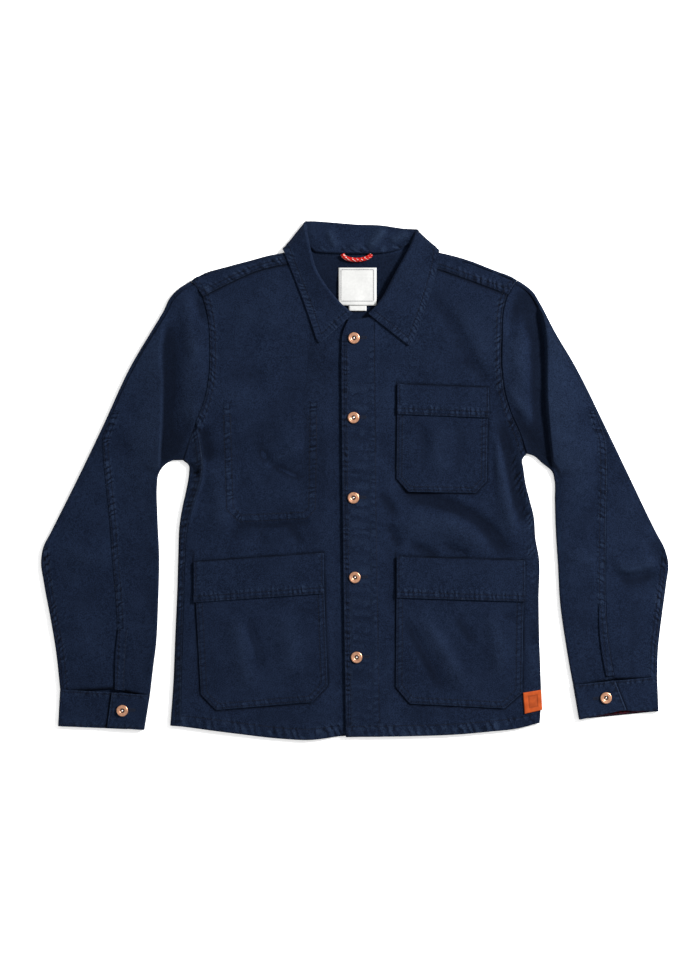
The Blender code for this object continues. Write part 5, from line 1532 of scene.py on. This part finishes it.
def wales(look):
    """The weave's diagonal ribs, from -1 to 1, in the cloth's own directions."""
    place = look.node("UVMap", uv_map="weave").outputs["UV"]
    turns = (2 * np.pi * 0.75 / WALE, 2 * np.pi * 0.66 / WALE, 0)
    lean = look.node("VectorMath", {0: place, 1: turns}, operation="DOT_PRODUCT")
    return look.math("SINE", lean.outputs["Value"])


def seam_marks(look):
    """Puckers beside the seams, paler above 0 from wear and darker below as painted shade in their creases,
    and their stitch rows' grooves.
    """
    parts = look.node("SeparateXYZ", {0: look.attribute("seam")["Vector"]})
    turns, offset, strength = parts.outputs
    wander = look.times(look.noise(150), 1.1)
    turned = look.times(look.plus(turns, wander), 2 * np.pi)
    crease = look.times(look.minus(1.0, look.math("SINE", turned)), 0.5)
    dips = look.math("POWER", crease, 2.2)
    uneven = look.stretched(look.noise(75), 0.36, 0.62)
    puckers = look.times(look.minus(0.42, dips), look.times(strength, uneven))
    near = look.stretched(look.math("ABSOLUTE", offset), 1.3, 0.2)
    return puckers, look.times(near, look.stretched(strength, 0.0, 0.2))


def twill_material():
    """Washed navy twill: fine ribs, mottled dye, paler ridges and edges where it has rubbed, painted light
    on swells, painted shade in hollows, creases, along seams and in stitch grooves, and a darker patch
    inside the neck.
    """
    look = Look("twill", Roughness=0.88, Specular_IOR_Level=0.03, Sheen_Weight=0.02, Sheen_Roughness=0.45,
                Sheen_Tint=(0.5, 0.65, 1.0))
    specks = look.noise(700, 3)
    mottle = look.plus(look.times(specks, 0.72), look.times(look.noise(150), 0.12))
    mottle = look.plus(mottle, look.times(look.noise(26, 3), 0.16))
    dyed = look.mixed(look.stretched(mottle, 0.41, 0.59), TWILL_DARK, TWILL_LIGHT)
    puckers, groove = seam_marks(look)
    # wear and painted light lie above 0, painted shade below it
    worn_and_shaded = look.plus(look.attribute("wear")["Fac"], look.times(puckers, 1.5))
    # the stitch rows' grooves darken the colour as painted shade
    worn_and_shaded = look.minus(worn_and_shaded, look.times(groove, 0.6))
    rubbed_and_lit = look.times(worn_and_shaded, look.stretched(specks, 0.2, 0.7))
    faded_and_lit = look.mixed(look.stretched(rubbed_and_lit, 0.0, 1.0), dyed, TWILL_WORN_AND_LIT)
    # below 0 the colour mixes towards the darkened colour: painted shade, and the darker cloth inside the
    # neck
    colour = look.mixed(look.stretched(worn_and_shaded, 0.0, -1.0), faded_and_lit, TWILL_DARKENED)
    surface = look.plus(look.times(wales(look), 0.35), specks)
    relief = look.minus(look.times(puckers, 2.0), groove)
    return look.finish(colour, look.plus(surface, relief), 0.0003)


def lining_material():
    """Burgundy lining cloth, worn unevenly."""
    look = Look("lining", Roughness=0.9, Specular_IOR_Level=0.05)
    colour = look.mixed(look.stretched(look.noise(240, 3), 0.35, 0.65), LINING_DARK, LINING_LIGHT)
    return look.finish(colour, look.noise(1400), 0.0001)


def thread_material(name, dark, light):
    look = Look(name, Roughness=0.8, Specular_IOR_Level=0.06)
    return look.finish(look.mixed(look.noise(900, 1), dark, light))


def metal_material(name, dark, light, roughness):
    """Metal with faint tarnish and fine scratches."""
    look = Look(name, Roughness=roughness, Metallic=1.0)
    tarnish = look.stretched(look.noise(330, 4), 0.3, 0.7)
    return look.finish(look.mixed(tarnish, dark, light), look.noise(2400), 0.00002)


def leather_material():
    """Smooth tan leather, darker where it is pressed."""
    look = Look("leather", Roughness=0.62, Specular_IOR_Level=0.06)
    grain = look.node("TexVoronoi", dict(Vector=look.where, Scale=1500))
    tone = look.mixed(look.stretched(look.noise(120, 3), 0.3, 0.7), LEATHER_DARK, LEATHER_LIGHT)
    pressed = look.times(look.attribute("wear")["Fac"], 0.45)
    return look.finish(look.mixed(pressed, tone, LEATHER_PRESSED), grain.outputs["Distance"], 0.00008)


def label_material():
    """White satin-woven label cloth."""
    look = Look("label", Roughness=0.55)
    ribs = look.node("TexWave", dict(Vector=look.where, Scale=900), bands_direction="Y")
    return look.finish(look.mixed(look.noise(260), LABEL_DARK, LABEL_LIGHT), ribs.outputs["Fac"], 0.00005)


def cord_material():
    """Red braided cord with pale flecks slanting across it."""
    look = Look("cord", Roughness=0.85, Specular_IOR_Level=0.04)
    braid = look.node("TexWave", dict(Vector=look.where, Scale=92, Distortion=1.5),
                      bands_direction="DIAGONAL").outputs["Fac"]
    beads = look.stretched(look.noise(620, 1), 0.46, 0.56)
    flecks = look.stretched(look.times(braid, beads), 0.78, 0.86)
    shade = look.mixed(look.stretched(look.noise(700), 0.3, 0.7), CORD_DARK, CORD_RED)
    return look.finish(look.mixed(flecks, shade, CORD_FLECK), braid, 0.0004)


def floor_material():
    """White paper on a light table, which softens the shadows around the jacket."""
    look = Look("white_paper", Roughness=0.95, Specular_IOR_Level=0.0, Emission_Color=(1, 1, 1),
                Emission_Strength=0.25)
    return look.finish(look.mixed(look.noise(8), (0.9, 0.9, 0.9), (0.92, 0.92, 0.92)))


def make_floor():
    corners = [(x * FLOOR_REACH, y * FLOOR_REACH, FLOOR_AT) for x, y in ((-1, -1), (1, -1), (1, 1), (-1, 1))]
    mesh = bpy.data.meshes.new("floor")
    mesh.from_pydata(corners, [], [(0, 1, 2, 3)])
    mesh.materials.append(floor_material())
    linked("floor", mesh)


def make_light():
    """A round key light beyond the upper right corner, in even white surroundings."""
    world = bpy.data.worlds.new("surroundings")
    bpy.context.scene.world = world
    world.use_nodes = True
    background = world.node_tree.nodes["Background"].inputs
    background["Color"].default_value = (1, 1, 1, 1)
    background["Strength"].default_value = WORLD_STRENGTH
    data = bpy.data.lights.new("key", "AREA")
    data.shape = "DISK"
    data.size = KEY_SIZE
    data.energy = KEY_POWER
    key = linked("key", data)
    key.location = KEY_AT
    key.rotation_euler = KEY_TURN


def make_camera():
    data = bpy.data.cameras.new("camera")
    data.lens = CAMERA_LENS
    data.sensor_width = 36
    data.sensor_fit = "AUTO"
    data.clip_start = 0.05
    data.clip_end = 20
    camera = linked("camera", data)
    camera.location = CAMERA_AT
    bpy.context.scene.camera = camera
    bpy.context.scene.view_settings.view_transform = "Standard"


twill = twill_material()
thread = thread_material("thread", THREAD_DARK, THREAD_LIGHT)
grey_thread = thread_material("grey_thread", GREY_DARK, GREY_LIGHT)
lining = lining_material()
copper = metal_material("copper", COPPER_DARK, COPPER_LIGHT, 0.34)
dark_metal = metal_material("dark_metal", WELL_DARK, WELL_LIGHT, 0.5)
steel = metal_material("steel", STEEL_DARK, STEEL_LIGHT, 0.28)
leather = leather_material()
label = label_material()
cord = cord_material()

make_camera()
make_loop()
make_back()
make_front_right()
make_front_left()
make_yoke()
for wearer_side in ("right", "left"):
    make_sleeve(wearer_side)
    make_allowance(wearer_side)
make_collar()
for cuff in CUFFS:
    make_cuff(cuff)
make_cuff_lining()
for pocket in POCKETS:
    make_pocket(pocket)
make_inner_pocket()
for strip in SLEEVE_PLACKETS:
    make_sleeve_placket(strip)
inside_neck = NECK_LIFT + CLOTH + SEAM + LABEL_WALL
make_trim("neck_label", LABEL, inside_neck, LABEL_WALL, label, "label", 24, 24, 2)
make_trim("size_tab", SIZE_TAB, inside_neck, LABEL_WALL, label, "label", 12, 6, 6)
make_leather_patch()
for number, place in enumerate(BUTTONS, 1):
    make_button(f"button_{number}", *place, PLACKET_TOP + SEAM)
for wearer_side, place in CUFF_BUTTONS.items():
    make_button("cuff_button_" + wearer_side, *place, OVERLAP_TOP + SEAM)
make_stitches()
make_buttonholes()
make_label_frame()
make_floor()
make_light()
